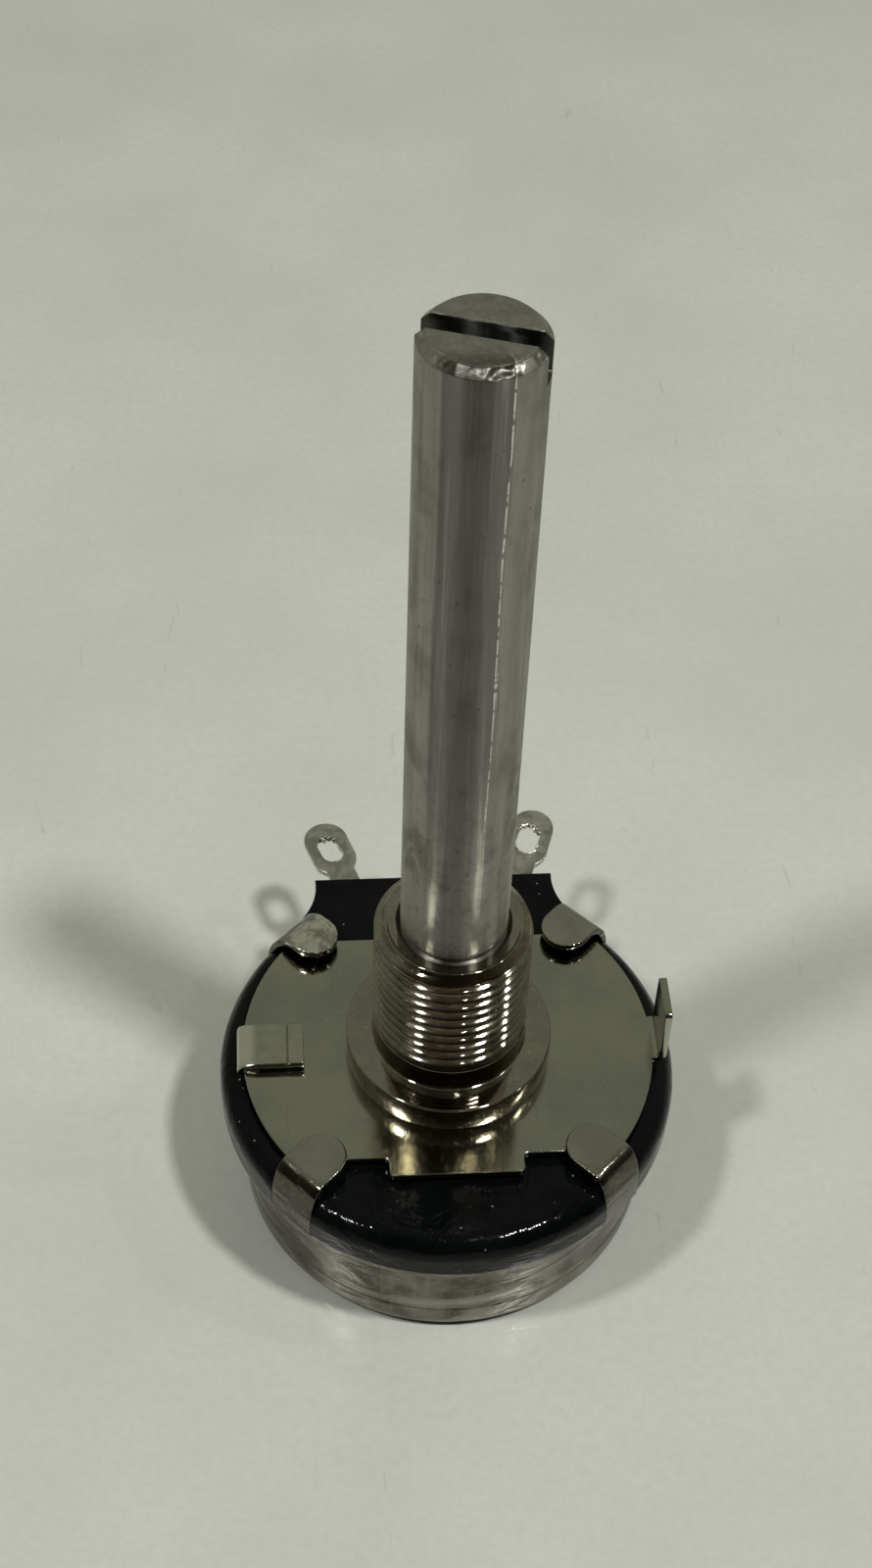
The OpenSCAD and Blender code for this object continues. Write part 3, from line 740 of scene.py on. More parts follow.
def hole_loop(seed, rough, count=72):
    """Outline of an eye's hole, torn on its far side."""
    straight = HOLE_LEN / 2 - HOLE_HALF
    points = []
    for k in range(count):
        a = 2 * math.pi * k / count
        far = max(math.sin(a + 0.5), 0) ** 0.7
        tear = noise.noise(Vector((math.cos(a) * 3.1 + seed, math.sin(a) * 3.1, seed * 1.7)))
        fine = noise.noise(Vector((math.cos(a) * 9 + seed, math.sin(a) * 9, seed)))
        r = HOLE_HALF - rough * far * (0.08 + 0.42 * max(tear, 0) + 0.30 * max(fine, 0))
        shift = straight if math.sin(a) > 0 else -straight
        if abs(math.sin(a)) < 1e-6:
            shift = 0
        points.append(Vector((r * math.cos(a), EYE_Y + shift + r * math.sin(a))))
    return points


def burr_mesh(loop, seed, z_top):
    """Uneven lip of torn metal and tin around a hole, standing on the upper face."""
    shape = Shape()
    rows = []
    centre = Vector((0, EYE_Y))
    round_steps = 8
    for p in loop:
        away = (p - centre).normalized()
        lump = noise.noise(Vector((p.x * 3.3 + seed, p.y * 3.3, seed)))
        far = max((p.y - EYE_Y) / HOLE_LEN + 0.7, 0.2)
        size = 0.035 + 0.12 * max(lump + 0.15, 0) * far
        row = []
        for k in range(round_steps):
            b = 2 * math.pi * k / round_steps
            out = BURR_LEAN + size * 1.3 * math.cos(b)
            row.append((p.x + away.x * out, p.y + away.y * out,
                        z_top - BURR_SINK + size * math.sin(b)))
        rows.append(row)
    shape.grid(rows, closed_rows=True, closed_columns=True)
    return shape.mesh("burr")


def terminal_mesh(x, turn, lift, rivet, seed, rough):
    """One terminal, its eye bent up by lift about the block's face."""
    rivet_in = math.hypot(rivet.x - x, rivet.y - BLOCK_Y)
    z_mid = TERMINAL_T / 2
    outline = terminal_loop(rivet_in)
    flat = sheet(outline, TERMINAL_T, SHEET_EDGE, lambda a, b, h: (a, b, z_mid + h))
    hole = hole_loop(seed, rough)
    ends = [[(p.x, p.y, z) for p in hole] for z in (-OVER, OVER)]
    rivet_hole = disc_cutter("rivet_hole", RIVET_R, -OVER, OVER, (0, -rivet_in))
    cutters = [prism("hole", ends), rivet_hole]
    made = combined("terminal", flat.mesh("terminal"), cutters, "DIFFERENCE")
    made = combined("terminal", made, [burr_mesh(hole, seed, TERMINAL_T)], "UNION")
    bm = bmesh.new()
    bm.from_mesh(made)
    for y in (0, LIFT_BEND):
        bmesh.ops.bisect_plane(bm, geom=bm.verts[:] + bm.edges[:] + bm.faces[:], dist=1e-5,
                               plane_co=(0, y, 0), plane_no=(0, 1, 0))
    for v in bm.verts:
        share = min(max(v.co.y / LIFT_BEND, 0), 1)
        if share > 0:
            offset = v.co - Vector((0, 0, z_mid))
            v.co = Matrix.Rotation(lift * share, 3, "X") @ offset + Vector((0, 0, z_mid))
    bm.to_mesh(made)
    bm.free()
    made.transform(Matrix.Translation((x, BLOCK_Y, Z_TERMINAL)) @ Matrix.Rotation(turn, 4, "Z"))
    return made


def centre_of(node):
    """Middle of a node's box."""
    return (low_of(node) + high_of(node)) / 2


# ---- Camera ------------------------------------------------------------------

CAMERA_AT = (-8.63, -79.36, 123.13)
CAMERA_AIM = (0.0615, 0.6667, -0.7428)
CAMERA_RIGHT = (0.9977, -0.0622, 0.0268)
LENS = 52.9
SENSOR = 36


def make_camera():
    """The photograph's view, placed in millimetres."""
    data = bpy.data.cameras.new("camera")
    data.lens = LENS
    data.sensor_width = SENSOR
    data.clip_start = 0.001
    data.clip_end = 10
    cam = linked("camera", data)
    back = -Vector(CAMERA_AIM).normalized()
    right = Vector(CAMERA_RIGHT).normalized()
    up = back.cross(right).normalized()
    right = up.cross(back)
    turn = Matrix((right, up, back)).transposed().to_4x4()
    cam.matrix_world = Matrix.Translation(Vector(CAMERA_AT) * MM) @ turn
    bpy.context.scene.camera = cam


# ---- Light and floor, in metres and watts ------------------------------------

LAMP_FAR = 0.7
LAMP_COLOUR = (1, 0.99, 0.95)
# Name, direction, diameter and power
LAMPS = (
    ("key_right", (0.319, -0.253, 0.914), 0.06, 2.1),
    ("key_left", (-0.419, -0.209, 0.883), 0.06, 1.35),
    ("edge_right", (0.583, -0.054, 0.811), 0.025, 0.18),
    ("front_top", (0.100, -0.299, 0.948), 0.015, 0.04),
)
# The room is dark in front of the part and pale behind it: (how far back, colour)
ROOM_FRONT = (0.22, (0.020, 0.016, 0.011, 1))
ROOM_BACK = (0.75, (0.24, 0.245, 0.19, 1))
FLOOR_HALF = 1.5
FLOOR_DROP = 0.00002


def disc_light(name, towards, diameter, power):
    """A round lamp in a direction from the part, facing it."""
    data = bpy.data.lights.new(name, "AREA")
    data.shape = "DISK"
    data.size = diameter
    data.energy = power
    data.color = LAMP_COLOUR
    lamp = linked(name, data)
    lamp.location = Vector(towards).normalized() * LAMP_FAR
    lamp.rotation_mode = "QUATERNION"
    lamp.rotation_quaternion = Vector(towards).to_track_quat("Z", "Y")


def make_world():
    """Dim surroundings that grow paler from the front to the back."""
    world = bpy.data.worlds.new("studio")
    world.use_nodes = True
    nodes, links = world.node_tree.nodes, world.node_tree.links
    coords = nodes.new("ShaderNodeTexCoord")
    split = nodes.new("ShaderNodeSeparateXYZ")
    links.new(coords.outputs["Generated"], split.inputs[0])
    ramp = nodes.new("ShaderNodeValToRGB")
    for stop, (place, colour) in zip(ramp.color_ramp.elements, (ROOM_FRONT, ROOM_BACK)):
        stop.position = place
        stop.color = colour
    shift = nodes.new("ShaderNodeMath")
    shift.operation = "MULTIPLY_ADD"
    shift.inputs[1].default_value = 0.5
    shift.inputs[2].default_value = 0.5
    links.new(split.outputs["Y"], shift.inputs[0])
    links.new(shift.outputs[0], ramp.inputs[0])
    links.new(ramp.outputs[0], nodes["Background"].inputs["Color"])
    nodes["Background"].inputs["Strength"].default_value = 1.0
    bpy.context.scene.world = world


# ---- Materials ---------------------------------------------------------------

SHAFT_DARK = (0.31, 0.303, 0.278)
SHAFT_PALE = (0.42, 0.41, 0.375)
SHAFT_PAINTED_REFLECTION = (0.105, 0.102, 0.092)
SHAFT_PAINTED_HIGHLIGHT = (0.95, 0.93, 0.87)
SHAFT_RUBBED = (0.50, 0.485, 0.44)
SLOT_PAINTED_SHADE = (0.05, 0.052, 0.047)
SHAFT_STAIN = (0.10, 0.085, 0.06)
SHAFT_SPOT = (0.09, 0.075, 0.05)
SHAFT_PIT = (0.05, 0.045, 0.035)
BARREL_BROWN = (0.22, 0.18, 0.13)
BARREL_PALE = (0.40, 0.355, 0.285)
COLLAR_DARK = (0.33, 0.315, 0.26)
COLLAR_PALE = (0.40, 0.385, 0.32)
BARREL_GRIME = (0.12, 0.095, 0.065)
BARREL_RUBBED = (0.60, 0.57, 0.50)
NECK_PAINTED_SHADE = (0.06, 0.046, 0.03)
PLATE_DARK = (0.375, 0.38, 0.315)
PLATE_PALE = (0.45, 0.45, 0.375)
PLATE_DUST = (0.62, 0.61, 0.52)
PLATE_SCRATCH = (0.22, 0.21, 0.17)
LUG_PAINTED_SHEEN = (0.60, 0.60, 0.51)
LUG_BEND_HIGHLIGHT = (0.92, 0.92, 0.84)
CUP_DARK = (0.075, 0.066, 0.052)
CUP_PALE = (0.21, 0.195, 0.17)
CUP_DRAWN = (0.36, 0.345, 0.30)
CUP_REFLECTION_BANDS = (0.40, 0.38, 0.33)
CUP_FLANK_SHADE = (0.055, 0.048, 0.036)
STRAP_SLOPE_SHADE = (0.06, 0.056, 0.047)
STRAP_DARK = (0.37, 0.37, 0.31)
STRAP_PALE = (0.45, 0.45, 0.385)
CUP_DUST = (0.58, 0.57, 0.50)
STRAP_PAINTED_HIGHLIGHT = (0.90, 0.89, 0.82)
BLACK = (0.0012, 0.0018, 0.0022)
NEAR_BLACK = (0.0035, 0.0045, 0.005)
LINT = (0.10, 0.10, 0.095)
SPECK_DUST_AND_GLINT = (0.35, 0.35, 0.33)
TIN_DARK = (0.41, 0.415, 0.355)
TIN_PALE = (0.60, 0.60, 0.53)
TIN_PIT = (0.24, 0.235, 0.18)
TIN_RUN = (0.80, 0.79, 0.72)
BRASS_PALE = (0.70, 0.53, 0.25)
BRASS_DARK = (0.52, 0.34, 0.13)
BRASS_GRAIN = (0.82, 0.70, 0.42)
BOARD_DARK = (0.15, 0.065, 0.025)
BOARD_PALE = (0.30, 0.155, 0.065)
BOARD_STAIN = (0.09, 0.04, 0.018)
CARBON_DARK = (0.012, 0.012, 0.013)
CARBON_PALE = (0.035, 0.035, 0.038)
CARBON_GRAIN = (0.12, 0.12, 0.125)
STEEL_DARK = (0.34, 0.33, 0.31)
STEEL_PALE = (0.52, 0.51, 0.49)
STEEL_GRAIN = (0.22, 0.20, 0.17)
FLOOR_DARK = (0.615, 0.63, 0.592)
FLOOR_PALE = (0.685, 0.70, 0.658)
FLOOR_FINE = (0.54, 0.55, 0.505)
FLOOR_MARK = (0.25, 0.24, 0.21)


class Look:
    """A procedural material whose patterns are laid out in millimetres of the part."""

    def __init__(self, name, metallic, roughness):
        self.mat = bpy.data.materials.new(name)
        self.mat.use_nodes = True
        self.nodes = self.mat.node_tree.nodes
        self.links = self.mat.node_tree.links
        self.shader = self.nodes["Principled BSDF"]
        self.shader.inputs["Metallic"].default_value = metallic
        self.shader.inputs["Roughness"].default_value = roughness
        self.place = self.node("TexCoord").outputs["Object"]

    def put(self, socket, value):
        if isinstance(value, bpy.types.NodeSocket):
            self.links.new(value, socket)
        else:
            socket.default_value = value

    def node(self, kind, **inputs):
        """A new node with inputs set or linked by name, _ for a space."""
        made = self.nodes.new("ShaderNode" + kind)
        for name, value in inputs.items():
            self.put(made.inputs[name.replace("_", " ")], value)
        return made

    def stretched(self, x, y, z):
        """Coordinates with so many pattern cells to the millimetre along each axis."""
        scale = (x / MM, y / MM, z / MM)
        return self.node("Mapping", Scale=scale, Vector=self.place).outputs[0]

    def cloud(self, x, y, z, detail=3, rough=0.55, twist=0):
        node = self.node("TexNoise", Scale=1, Detail=detail, Roughness=rough, Distortion=twist,
                         Vector=self.stretched(x, y, z))
        return node.outputs["Fac"]

    def cells(self, x, y, z):
        node = self.node("TexVoronoi", Scale=1, Vector=self.stretched(x, y, z))
        return node.outputs["Distance"]

    def math(self, operation, a, b=0.0):
        node = self.node("Math")
        node.operation = operation
        self.put(node.inputs[0], a)
        self.put(node.inputs[1], b)
        return node.outputs[0]

    def times(self, a, b):
        return self.math("MULTIPLY", a, b)

    def plus(self, a, b):
        return self.math("ADD", a, b)

    def band(self, value, low, low_end, high, high_end):
        """1 between two places and 0 outside, with a soft edge at each."""
        return self.times(self.span(value, low, low_end), self.span(value, high, high_end, 1, 0))

    def span(self, value, low, high, to_low=0.0, to_high=1.0):
        """Value taken smoothly from low..high to another range, clamped."""
        node = self.node("MapRange", Value=value, From_Min=low, From_Max=high,
                         To_Min=to_low, To_Max=to_high)
        node.interpolation_type = "SMOOTHSTEP"
        return node.outputs[0]

    def mix(self, share, a, b):
        node = self.node("Mix", Factor=share)
        node.data_type = "RGBA"
        for name, colour in (("A", a), ("B", b)):
            if not isinstance(colour, bpy.types.NodeSocket):
                colour = (*colour, 1)
            socket = [i for i in node.inputs if i.name == name and i.type == "RGBA"][0]
            self.put(socket, colour)
        return [o for o in node.outputs if o.type == "RGBA"][0]

    def tint(self, tone, mask, amount, colour):
        """The tone with so much of a colour over it where the mask is 1."""
        return self.mix(self.times(mask, amount), tone, colour)

    def axis(self, name):
        """One coordinate in millimetres."""
        node = self.node("SeparateXYZ", Vector=self.place)
        return self.math("DIVIDE", node.outputs[name], MM)

    def along(self, name, low, high, to_low=0.0, to_high=1.0):
        """A soft step along one axis, places in millimetres."""
        return self.span(self.axis(name), low, high, to_low, to_high)

    def facing_up(self):
        """1 where the surface faces along the shaft, 0 on walls."""
        node = self.node("SeparateXYZ", Vector=self.node("TexCoord").outputs["Normal"])
        return self.span(node.outputs["Z"], 0.75, 0.97)

    def colour(self, value):
        self.put(self.shader.inputs["Base Color"], value)

    def roughness(self, value):
        self.put(self.shader.inputs["Roughness"], value)

    def relief(self, height, depth):
        """Bump of so many millimetres, on top of any before it."""
        node = self.node("Bump", Strength=1, Distance=depth * MM, Height=height)
        socket = self.shader.inputs["Normal"]
        if socket.is_linked:
            self.put(node.inputs["Normal"], socket.links[0].from_socket)
        self.put(socket, node.outputs[0])

    def grain_about_axis(self, anisotropic):
        """Turned metal: light smears along the shaft, across the tool marks."""
        node = self.node("Tangent")
        node.direction_type = "RADIAL"
        node.axis = "Z"
        self.put(self.shader.inputs["Tangent"], node.outputs[0])
        self.shader.inputs["Anisotropic"].default_value = anisotropic
        self.shader.inputs["Anisotropic Rotation"].default_value = 0.25


def shaft_look(name, turned):
    """Satin turned nickel: fine rings, drawn streaks, handling marks and dark mottling, with a
    painted dark reflection down the front, a painted highlight line and painted shade in the
    slot.
    """
    look = Look(name, 1, 0.42)
    if turned:
        look.grain_about_axis(0.95)
    streak = look.cloud(1.3, 1.3, 0.035, 4, 0.6)
    fine = look.cloud(5, 5, 0.12, 3, 0.6)
    blotch = look.cloud(0.55, 0.55, 0.30, 5, 0.65, 0.4)
    high_up = look.along("Z", STAIN_TOP, CLEAN_FROM)
    low_down = look.along("Z", STAIN_TOP, CLEAN_FROM, 1, 0.25)
    stain = look.times(look.span(blotch, 0.48, 0.66), low_down)
    tone = look.mix(look.span(streak, 0.3, 0.72), SHAFT_DARK, SHAFT_PALE)
    across = look.plus(look.axis("X"), look.times(look.math("SUBTRACT", streak, 0.5), 1.2))
    # Painted reflection: a band down the front of the shaft is painted darker, standing in for
    # the dark room that it mirrors
    front = look.along("Y", -2.4, -1.2, 1, 0)
    dark_reflection = look.band(across, -2.05, -1.75, 0.9, 1.5)
    dark_reflection = look.times(dark_reflection, look.times(front, look.span(high_up, 0, 1, 0.35, 0.75)))
    tone = look.mix(dark_reflection, tone, SHAFT_PAINTED_REFLECTION)
    # Painted highlight: a thin broken bright line down the front, standing in for a narrow lamp's
    # reflection
    line = look.band(across, 1.00, 1.06, 1.07, 1.14)
    broken = look.times(look.span(look.cloud(0.3, 0.3, 2.2, 2), 0.38, 0.5), high_up)
    line = look.times(line, look.times(front, broken))
    tone = look.tint(tone, line, 0.9, SHAFT_PAINTED_HIGHLIGHT)
    tone = look.tint(tone, look.span(fine, 0.45, 0.75), 0.22, SHAFT_RUBBED)
    # Painted shade: the inside of the slot is painted dark
    off = look.plus(look.times(look.axis("Y"), math.cos(SLOT_ANGLE)),
                    look.times(look.axis("X"), -math.sin(SLOT_ANGLE)))
    inside = look.span(look.math("ABSOLUTE", off), SLOT_W / 2, SLOT_W / 2 + 0.04, 1, 0)
    floor = Z_END - SLOT_DEPTH
    deep = look.band(look.axis("Z"), floor - 0.1, floor, Z_END - 0.12, Z_END - 0.05)
    inside = look.times(inside, deep)
    tone = look.tint(tone, inside, 0.85, SLOT_PAINTED_SHADE)
    tone = look.tint(tone, stain, 0.6, SHAFT_STAIN)
    spots = look.times(look.span(look.cloud(2.4, 2.4, 1.6, 4, 0.7), 0.52, 0.66), low_down)
    tone = look.tint(tone, spots, 0.35, SHAFT_SPOT)
    pits = look.span(look.cells(1.1, 1.1, 0.8), 0.05, 0.11, 1, 0)
    tone = look.tint(tone, pits, 0.5, SHAFT_PIT)
    look.colour(tone)
    look.roughness(look.plus(look.span(blotch, 0.35, 0.7, 0.36, 0.46),
                             look.span(fine, 0.4, 0.7, -0.03, 0.04)))
    look.relief(look.cloud(0.4, 0.4, 24, 2, 0.6), 0.0035)
    look.relief(look.cloud(0.5, 0.5, 0.12, 3), 0.03)
    look.relief(look.cells(1.1, 1.1, 0.8), 0.004)
    if not turned:
        chamfer = Z_END - SHAFT_CHAMFER
        near_end = look.along("Z", chamfer - 0.1, chamfer)
        rim = look.along("Z", Z_END - 0.05, Z_END - 0.01, 1, 0.04)
        dents = look.span(look.cloud(0.62, 0.62, 0.62, 2, 0.5), 0.40, 0.62)
        chips = look.times(dents, look.times(near_end, rim))
        look.relief(chips, 0.22)
    return look.mat


def bushing_look():
    """Bright nickel over turned brass with rubbed patches, browner on the walls and thread and
    darker there as painted shade, with painted shade in the neck.
    """
    look = Look("bushing_metal", 1, 0.09)
    patch = look.cloud(0.7, 0.7, 0.6, 4, 0.6, 0.3)
    fine = look.cloud(6, 6, 6, 3, 0.6)
    rub = look.cloud(3.2, 3.2, 0.5, 3, 0.6)
    # Walls take a browner, darker tone than the up-facing faces: the brown is the plating's own,
    # the extra darkness is painted shade
    wall = look.mix(look.span(patch, 0.35, 0.68), BARREL_BROWN, BARREL_PALE)
    face = look.mix(look.span(patch, 0.3, 0.7), COLLAR_DARK, COLLAR_PALE)
    tone = look.mix(look.facing_up(), wall, face)
    tone = look.tint(tone, look.span(fine, 0.52, 0.72), 0.35, BARREL_GRIME)
    tone = look.tint(tone, look.span(rub, 0.60, 0.74), 0.4, BARREL_RUBBED)
    # Painted shade: the neck between the thread and the collar is painted dark
    foot, top = Z_MOUNT + 0.1, Z_MOUNT + NECK_H - 0.2
    neck = look.band(look.axis("Z"), foot, foot + 0.2, top, top + 0.4)
    tone = look.tint(tone, neck, 0.55, NECK_PAINTED_SHADE)
    look.colour(tone)
    look.roughness(look.plus(look.span(patch, 0.3, 0.7, 0.04, 0.09),
                             look.span(rub, 0.55, 0.75, 0, 0.06)))
    look.relief(look.cloud(0.3, 0.3, 14, 2), 0.001)
    look.relief(look.cloud(1.4, 1.4, 1.4, 3), 0.006)
    return look.mat


def plate_look():
    """Smooth nickel sheet with a faint rolled grain, fine scratches and dust, and a painted sheen
    and a painted highlight along the bend on the folded lug.
    """
    look = Look("plate_metal", 1, 0.11)
    wide = look.cloud(0.22, 0.22, 0.22, 4, 0.6)
    grain = look.cloud(7, 0.35, 2, 3, 0.6)
    dust = look.cloud(4.5, 4.5, 4.5, 3, 0.7)
    scratch = look.span(look.cloud(2.4, 0.14, 1, 2, 0.5, 0.5), 0.66, 0.70)
    tone = look.mix(look.span(wide, 0.3, 0.7), PLATE_DARK, PLATE_PALE)
    tone = look.tint(tone, look.span(dust, 0.56, 0.74), 0.35, PLATE_DUST)
    tone = look.tint(tone, scratch, 0.15, PLATE_SCRATCH)
    # Painted sheen: the folded lug is painted lighter than the plate, in patchy noise
    lug = look.times(look.along("Z", Z_PLATE_TOP + 0.25, Z_PLATE_TOP + 0.4),
                     look.along("X", -7, -6, 1, 0))
    rub = look.span(look.cloud(0.9, 0.9, 0.9, 4, 0.65, 0.5), 0.35, 0.65, 0.15, 0.55)
    tone = look.mix(look.times(lug, rub), tone, LUG_PAINTED_SHEEN)
    # Painted highlight: a bright band along the folded lug's bend
    bend = look.along("X", 0.35 - PLATE_R, 0.95 - PLATE_R, 1, 0)
    tone = look.tint(tone, look.times(lug, bend), 0.6, LUG_BEND_HIGHLIGHT)
    look.colour(tone)
    look.roughness(look.plus(look.span(wide, 0.3, 0.7, 0.09, 0.13),
                             look.span(dust, 0.5, 0.75, 0, 0.12)))
    look.relief(grain, 0.0016)
    look.relief(look.cloud(0.35, 0.35, 0.35, 2), 0.02)
    look.relief(scratch, 0.002)
    return look.mat


def cover_look():
    """Nickel-plated drawn sheet: plain on the up-facing strap ends; draw-marked walls painted
    darker as shade, with painted reflection bands, painted shade on the flanks and slopes and a
    painted highlight on a raised strap tip.
    """
    look = Look("cover_metal", 1, 0.16)
    wide = look.cloud(0.35, 0.35, 0.30, 4, 0.6, 0.3)
    drawn = look.cloud(3.4, 3.4, 0.10, 3, 0.6)
    dust = look.cloud(4.2, 4.2, 4.2, 3, 0.7)
    wavy = look.cloud(0.13, 0.13, 0.5, 3, 0.5, 0.8)
    top = look.facing_up()
    # Painted shade: the cup's walls take a much darker tone than its up-facing tops
    wall = look.mix(look.span(wide, 0.32, 0.68), CUP_DARK, CUP_PALE)
    wall = look.tint(wall, look.span(drawn, 0.5, 0.75), 0.15, CUP_DRAWN)
    # Painted reflection: pale wavy bands around the wall; the same pattern also bumps it
    wall = look.tint(wall, look.span(wavy, 0.48, 0.62), 0.45, CUP_REFLECTION_BANDS)
    # Painted shade: the sides of the cup, away from the middle, are painted darker
    flank_shade = look.span(look.math("ABSOLUTE", look.axis("X")), 6.5, 11.5, 0, 0.62)
    wall = look.mix(flank_shade, wall, CUP_FLANK_SHADE)
    # Painted shade: the band from just below the rim up the straps' sloping sides is painted dark
    slope_shade = look.times(look.along("Z", Z_RIM - 0.4, Z_RIM + 0.4, 0, 0.7),
                       look.along("Z", Z_PLATE - 1.0, Z_PLATE + 0.5, 1, 0.45))
    wall = look.mix(slope_shade, wall, STRAP_SLOPE_SHADE)
    plain_top = look.mix(look.span(wide, 0.3, 0.7), STRAP_DARK, STRAP_PALE)
    tone = look.mix(top, wall, plain_top)
    tone = look.tint(tone, look.span(dust, 0.58, 0.74), 0.4, CUP_DUST)
    # Painted highlight: bright patches on the raised strap tip on the left
    under = Z_PLATE_TOP + STRAP_LIFT
    raised = look.along("Z", under, under + COVER_T)
    left = look.along("X", -6, -5, 1, 0)
    crumple_highlight = look.span(look.cloud(0.9, 0.9, 0.9, 4, 0.6, 1.2), 0.38, 0.56)
    crumple_highlight = look.times(crumple_highlight, look.times(raised, left))
    tone = look.tint(tone, crumple_highlight, 0.8, STRAP_PAINTED_HIGHLIGHT)
    look.colour(tone)
    look.roughness(look.plus(look.span(wide, 0.3, 0.7, 0.08, 0.16),
                             look.span(dust, 0.5, 0.75, 0, 0.12)))
    look.relief(drawn, 0.002)
    look.relief(wavy, 0.22)
    look.relief(look.cloud(0.28, 0.28, 0.5, 3), 0.05)
    return look.mat


def moulding_look():
    """Black glossy phenolic with faint flow marks and a few light specks, partly dust and partly
    painted glints.
    """
    look = Look("moulding", 0, 0.12)
    look.shader.inputs["Specular IOR Level"].default_value = 0.16
    flow = look.cloud(0.30, 0.30, 0.5, 4, 0.6, 0.6)
    # Light specks: partly dust, partly painted glints in place of small highlights
    specks = look.span(look.cells(1.0, 1.0, 1.0), 0.035, 0.075, 1, 0)
    lint = look.span(look.cloud(2.6, 2.6, 2.6, 3, 0.7), 0.66, 0.74)
    tone = look.mix(look.span(flow, 0.3, 0.7), BLACK, NEAR_BLACK)
    tone = look.tint(tone, lint, 0.10, LINT)
    tone = look.tint(tone, specks, 0.55, SPECK_DUST_AND_GLINT)
    look.colour(tone)
    look.roughness(look.plus(look.span(flow, 0.3, 0.7, 0.05, 0.12),
                             look.times(specks, 0.4)))
    look.relief(flow, 0.14)
    look.relief(look.cloud(5, 5, 5, 2), 0.002)
    return look.mat


def tinned_look():
    """Hot-tinned brass: greenish grey, cloudy, with pits and brighter runs."""
    look = Look("tinned_lug", 1, 0.3)
    wide = look.cloud(0.8, 0.8, 0.8, 4, 0.65, 0.5)
    fine = look.cloud(5, 5, 5, 3, 0.7)
    runs = look.span(look.cloud(1.5, 0.7, 1.5, 3, 0.6, 0.8), 0.56, 0.66)
    tone = look.mix(look.span(wide, 0.32, 0.68), TIN_DARK, TIN_PALE)
    tone = look.tint(tone, look.span(fine, 0.55, 0.75), 0.4, TIN_PIT)
    tone = look.tint(tone, runs, 0.6, TIN_RUN)
    look.colour(tone)
    look.roughness(look.plus(look.span(wide, 0.3, 0.7, 0.22, 0.36),
                             look.times(runs, -0.12)))
    look.relief(wide, 0.05)
    look.relief(fine, 0.010)
    return look.mat


def brass_look():
    """Rolled spring brass with a fine grain and a little tarnish."""
    look = Look("spring_brass", 1, 0.25)
    wide = look.cloud(0.5, 0.5, 0.5, 4, 0.6)
    grain = look.cloud(8, 0.5, 3, 3, 0.6)
    tone = look.mix(look.span(wide, 0.35, 0.7), BRASS_PALE, BRASS_DARK)
    tone = look.tint(tone, look.span(grain, 0.5, 0.75), 0.35, BRASS_GRAIN)
    look.colour(tone)
    look.roughness(look.span(wide, 0.3, 0.7, 0.20, 0.36))
    look.relief(grain, 0.002)
    return look.mat


def board_look():
    """Phenolic paper board with its fibres."""
    look = Look("phenolic_board", 0, 0.45)
    fibre = look.cloud(3.5, 0.5, 2.5, 4, 0.65, 0.6)
    wide = look.cloud(0.5, 0.5, 0.5, 3)
    tone = look.mix(look.span(fibre, 0.3, 0.72), BOARD_DARK, BOARD_PALE)
    tone = look.tint(tone, look.span(wide, 0.4, 0.7), 0.3, BOARD_STAIN)
    look.colour(tone)
    look.roughness(look.span(fibre, 0.3, 0.7, 0.36, 0.56))
    look.relief(fibre, 0.008)
    return look.mat


def carbon_look():
    """Pressed carbon with fine bright grains."""
    look = Look("carbon", 0, 0.6)
    grains = look.cells(7, 7, 7)
    wide = look.cloud(1.2, 1.2, 1.2, 4, 0.6)
    tone = look.mix(look.span(wide, 0.3, 0.7), CARBON_DARK, CARBON_PALE)
    tone = look.mix(look.span(grains, 0.08, 0.2, 0.6, 0), tone, CARBON_GRAIN)
    look.colour(tone)
    look.roughness(look.span(grains, 0.1, 0.5, 0.4, 0.7))
    look.relief(grains, 0.01)
    return look.mat


def steel_look():
    """Plated spring steel with turned and stamped marks."""
    look = Look("steel_small", 1, 0.3)
    wide = look.cloud(0.7, 0.7, 0.7, 4, 0.6)
    grain = look.cloud(0.6, 7, 3, 3, 0.6)
    tone = look.mix(look.span(wide, 0.3, 0.7), STEEL_DARK, STEEL_PALE)
    tone = look.tint(tone, look.span(grain, 0.5, 0.75), 0.35, STEEL_GRAIN)
    look.colour(tone)
    look.roughness(look.span(wide, 0.3, 0.7, 0.24, 0.38))
    look.relief(grain, 0.003)
    return look.mat


def floor_look():
    """Pale matt table top with a soft sheen, faint clouding and a few fine marks."""
    look = Look("floor_surface", 0, 0.1)
    look.shader.inputs["Specular IOR Level"].default_value = 0.4
    wide = look.cloud(0.035, 0.035, 0.035, 4, 0.55)
    fine = look.cloud(1.6, 1.6, 1.6, 4, 0.65)
    mark = look.span(look.cloud(0.5, 0.09, 1, 3, 0.6, 1.2), 0.70, 0.735)
    tone = look.mix(look.span(wide, 0.3, 0.7), FLOOR_DARK, FLOOR_PALE)
    tone = look.tint(tone, look.span(fine, 0.35, 0.7), 0.3, FLOOR_FINE)
    tone = look.tint(tone, mark, 0.16, FLOOR_MARK)
    look.colour(tone)
    look.roughness(look.span(wide, 0.3, 0.7, 0.16, 0.24))
    look.relief(fine, 0.006)
    return look.mat


LOOKS = {
    "bushing_metal": bushing_look,
    "plate_metal": plate_look,
    "cover_metal": cover_look,
    "moulding": moulding_look,
    "tinned_lug": tinned_look,
    "spring_brass": brass_look,
    "phenolic_board": board_look,
    "carbon": carbon_look,
    "steel_small": steel_look,
}


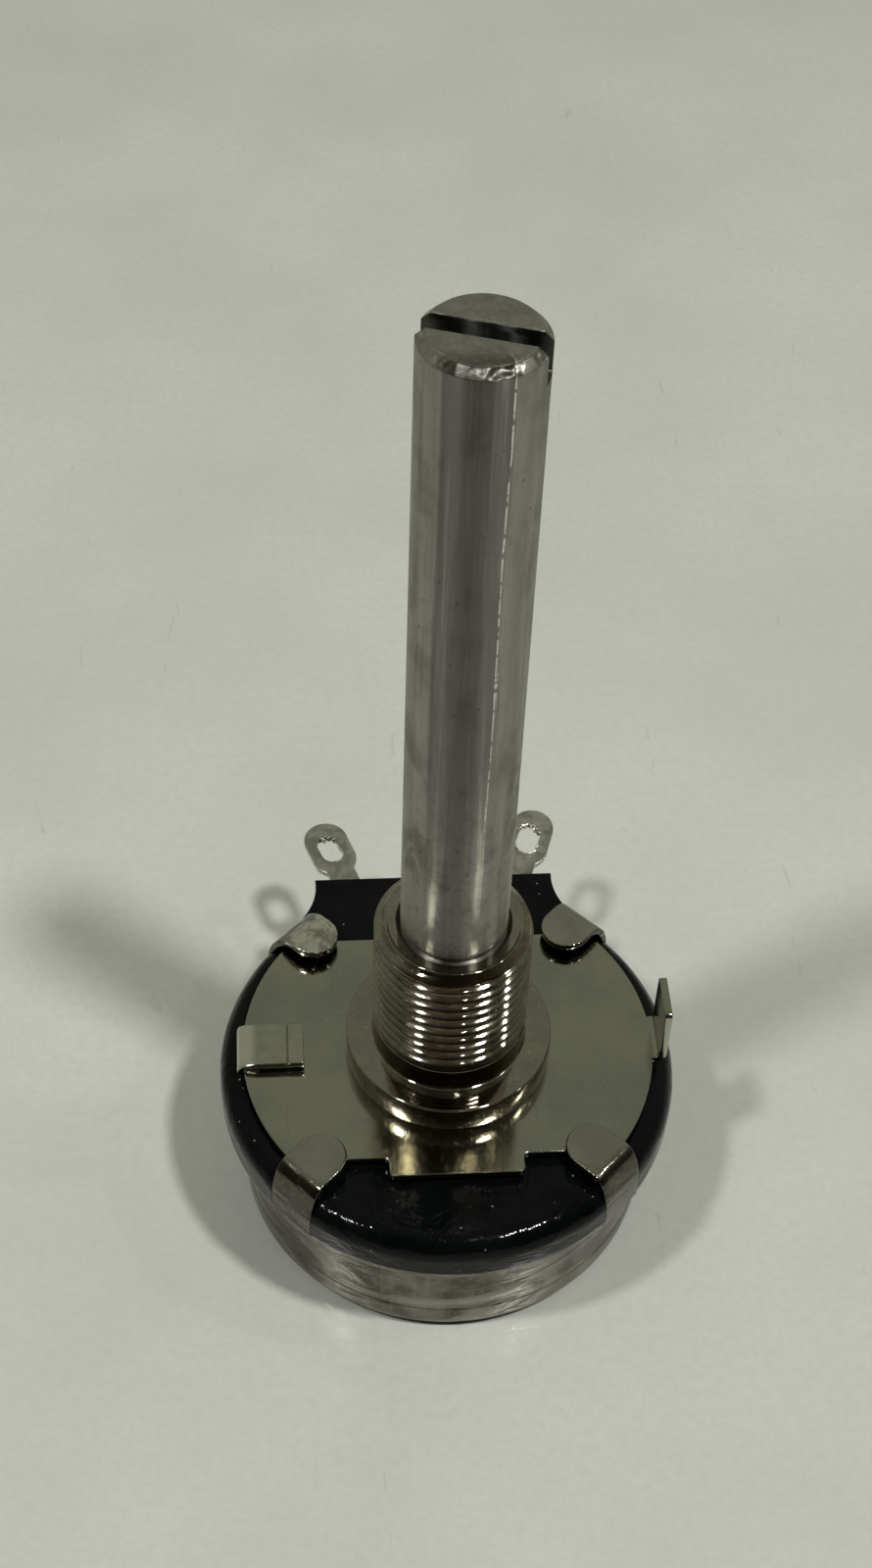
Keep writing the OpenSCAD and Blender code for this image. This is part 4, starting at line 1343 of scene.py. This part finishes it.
def make_floor():
    """The plain table top under the part."""
    h = FLOOR_HALF
    mesh = bpy.data.meshes.new("floor")
    corners = [(-h, -h, 0), (h, -h, 0), (h, h, 0), (-h, h, 0)]
    mesh.from_pydata(corners, [], [(0, 1, 2, 3)])
    floor = linked("floor", mesh)
    floor.location.z = -FLOOR_DROP
    mesh.materials.append(floor_look())


make_camera()
make_world()
make_floor()
for lamp in LAMPS:
    disc_light(*lamp)
LOOK = {}
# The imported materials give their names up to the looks
for old in list(bpy.data.materials):
    if old.name in LOOKS or old.name == "shaft_metal":
        old.name += "_packed"
for slot_name, make_look in LOOKS.items():
    LOOK[slot_name] = make_look()
LOOK["shaft_metal"] = shaft_look("shaft_metal", True)
for part in frame["record"]["subparts"]:
    node = frame["nodes"][part["node"]]
    for i in range(len(node.data.materials)):
        node.data.materials[i] = LOOK[part["material_slot"]]

piece("barrel", bushing_mesh(), LOOK["bushing_metal"], "case", ["bushing"])
housing = frame["nodes"]["housing"]
edges = housing.modifiers.new("soft_edges", "BEVEL")
edges.width = HOUSING_EDGE * MM
edges.segments = 2
edges.angle_limit = math.radians(HOUSING_EDGE_ANGLE)
edges.harden_normals = True

# The end faces aren't turned about the axis, so they have a look without its grain
control = piece("control_shaft", shaft_mesh(), LOOK["shaft_metal"], "rotating_group", ["shaft"])
control.data.materials.append(shaft_look("shaft_end_metal", False))
for face in control.data.polygons:
    if face.center.z > (Z_END - SLOT_DEPTH - END_DEEP) * MM and abs(face.normal.z) > END_TILT:
        face.material_index = 1
piece("plate_and_lugs", plate_mesh(), LOOK["plate_metal"], "case", ["front_plate"], weighted=True)
piece("cup_and_straps", cover_mesh(), LOOK["cover_metal"], "case", ["rear_cover"], weighted=True)
for side, x, turn, lift, seed, rough in TERMINALS:
    lug = terminal_mesh(x, turn, lift, centre_of("rivet_" + side), seed, rough)
    piece("solder_lug_" + side, lug, LOOK["tinned_lug"], "case", ["terminal_" + side],
          weighted=True)

bpy.context.scene.view_settings.view_transform = "Standard"
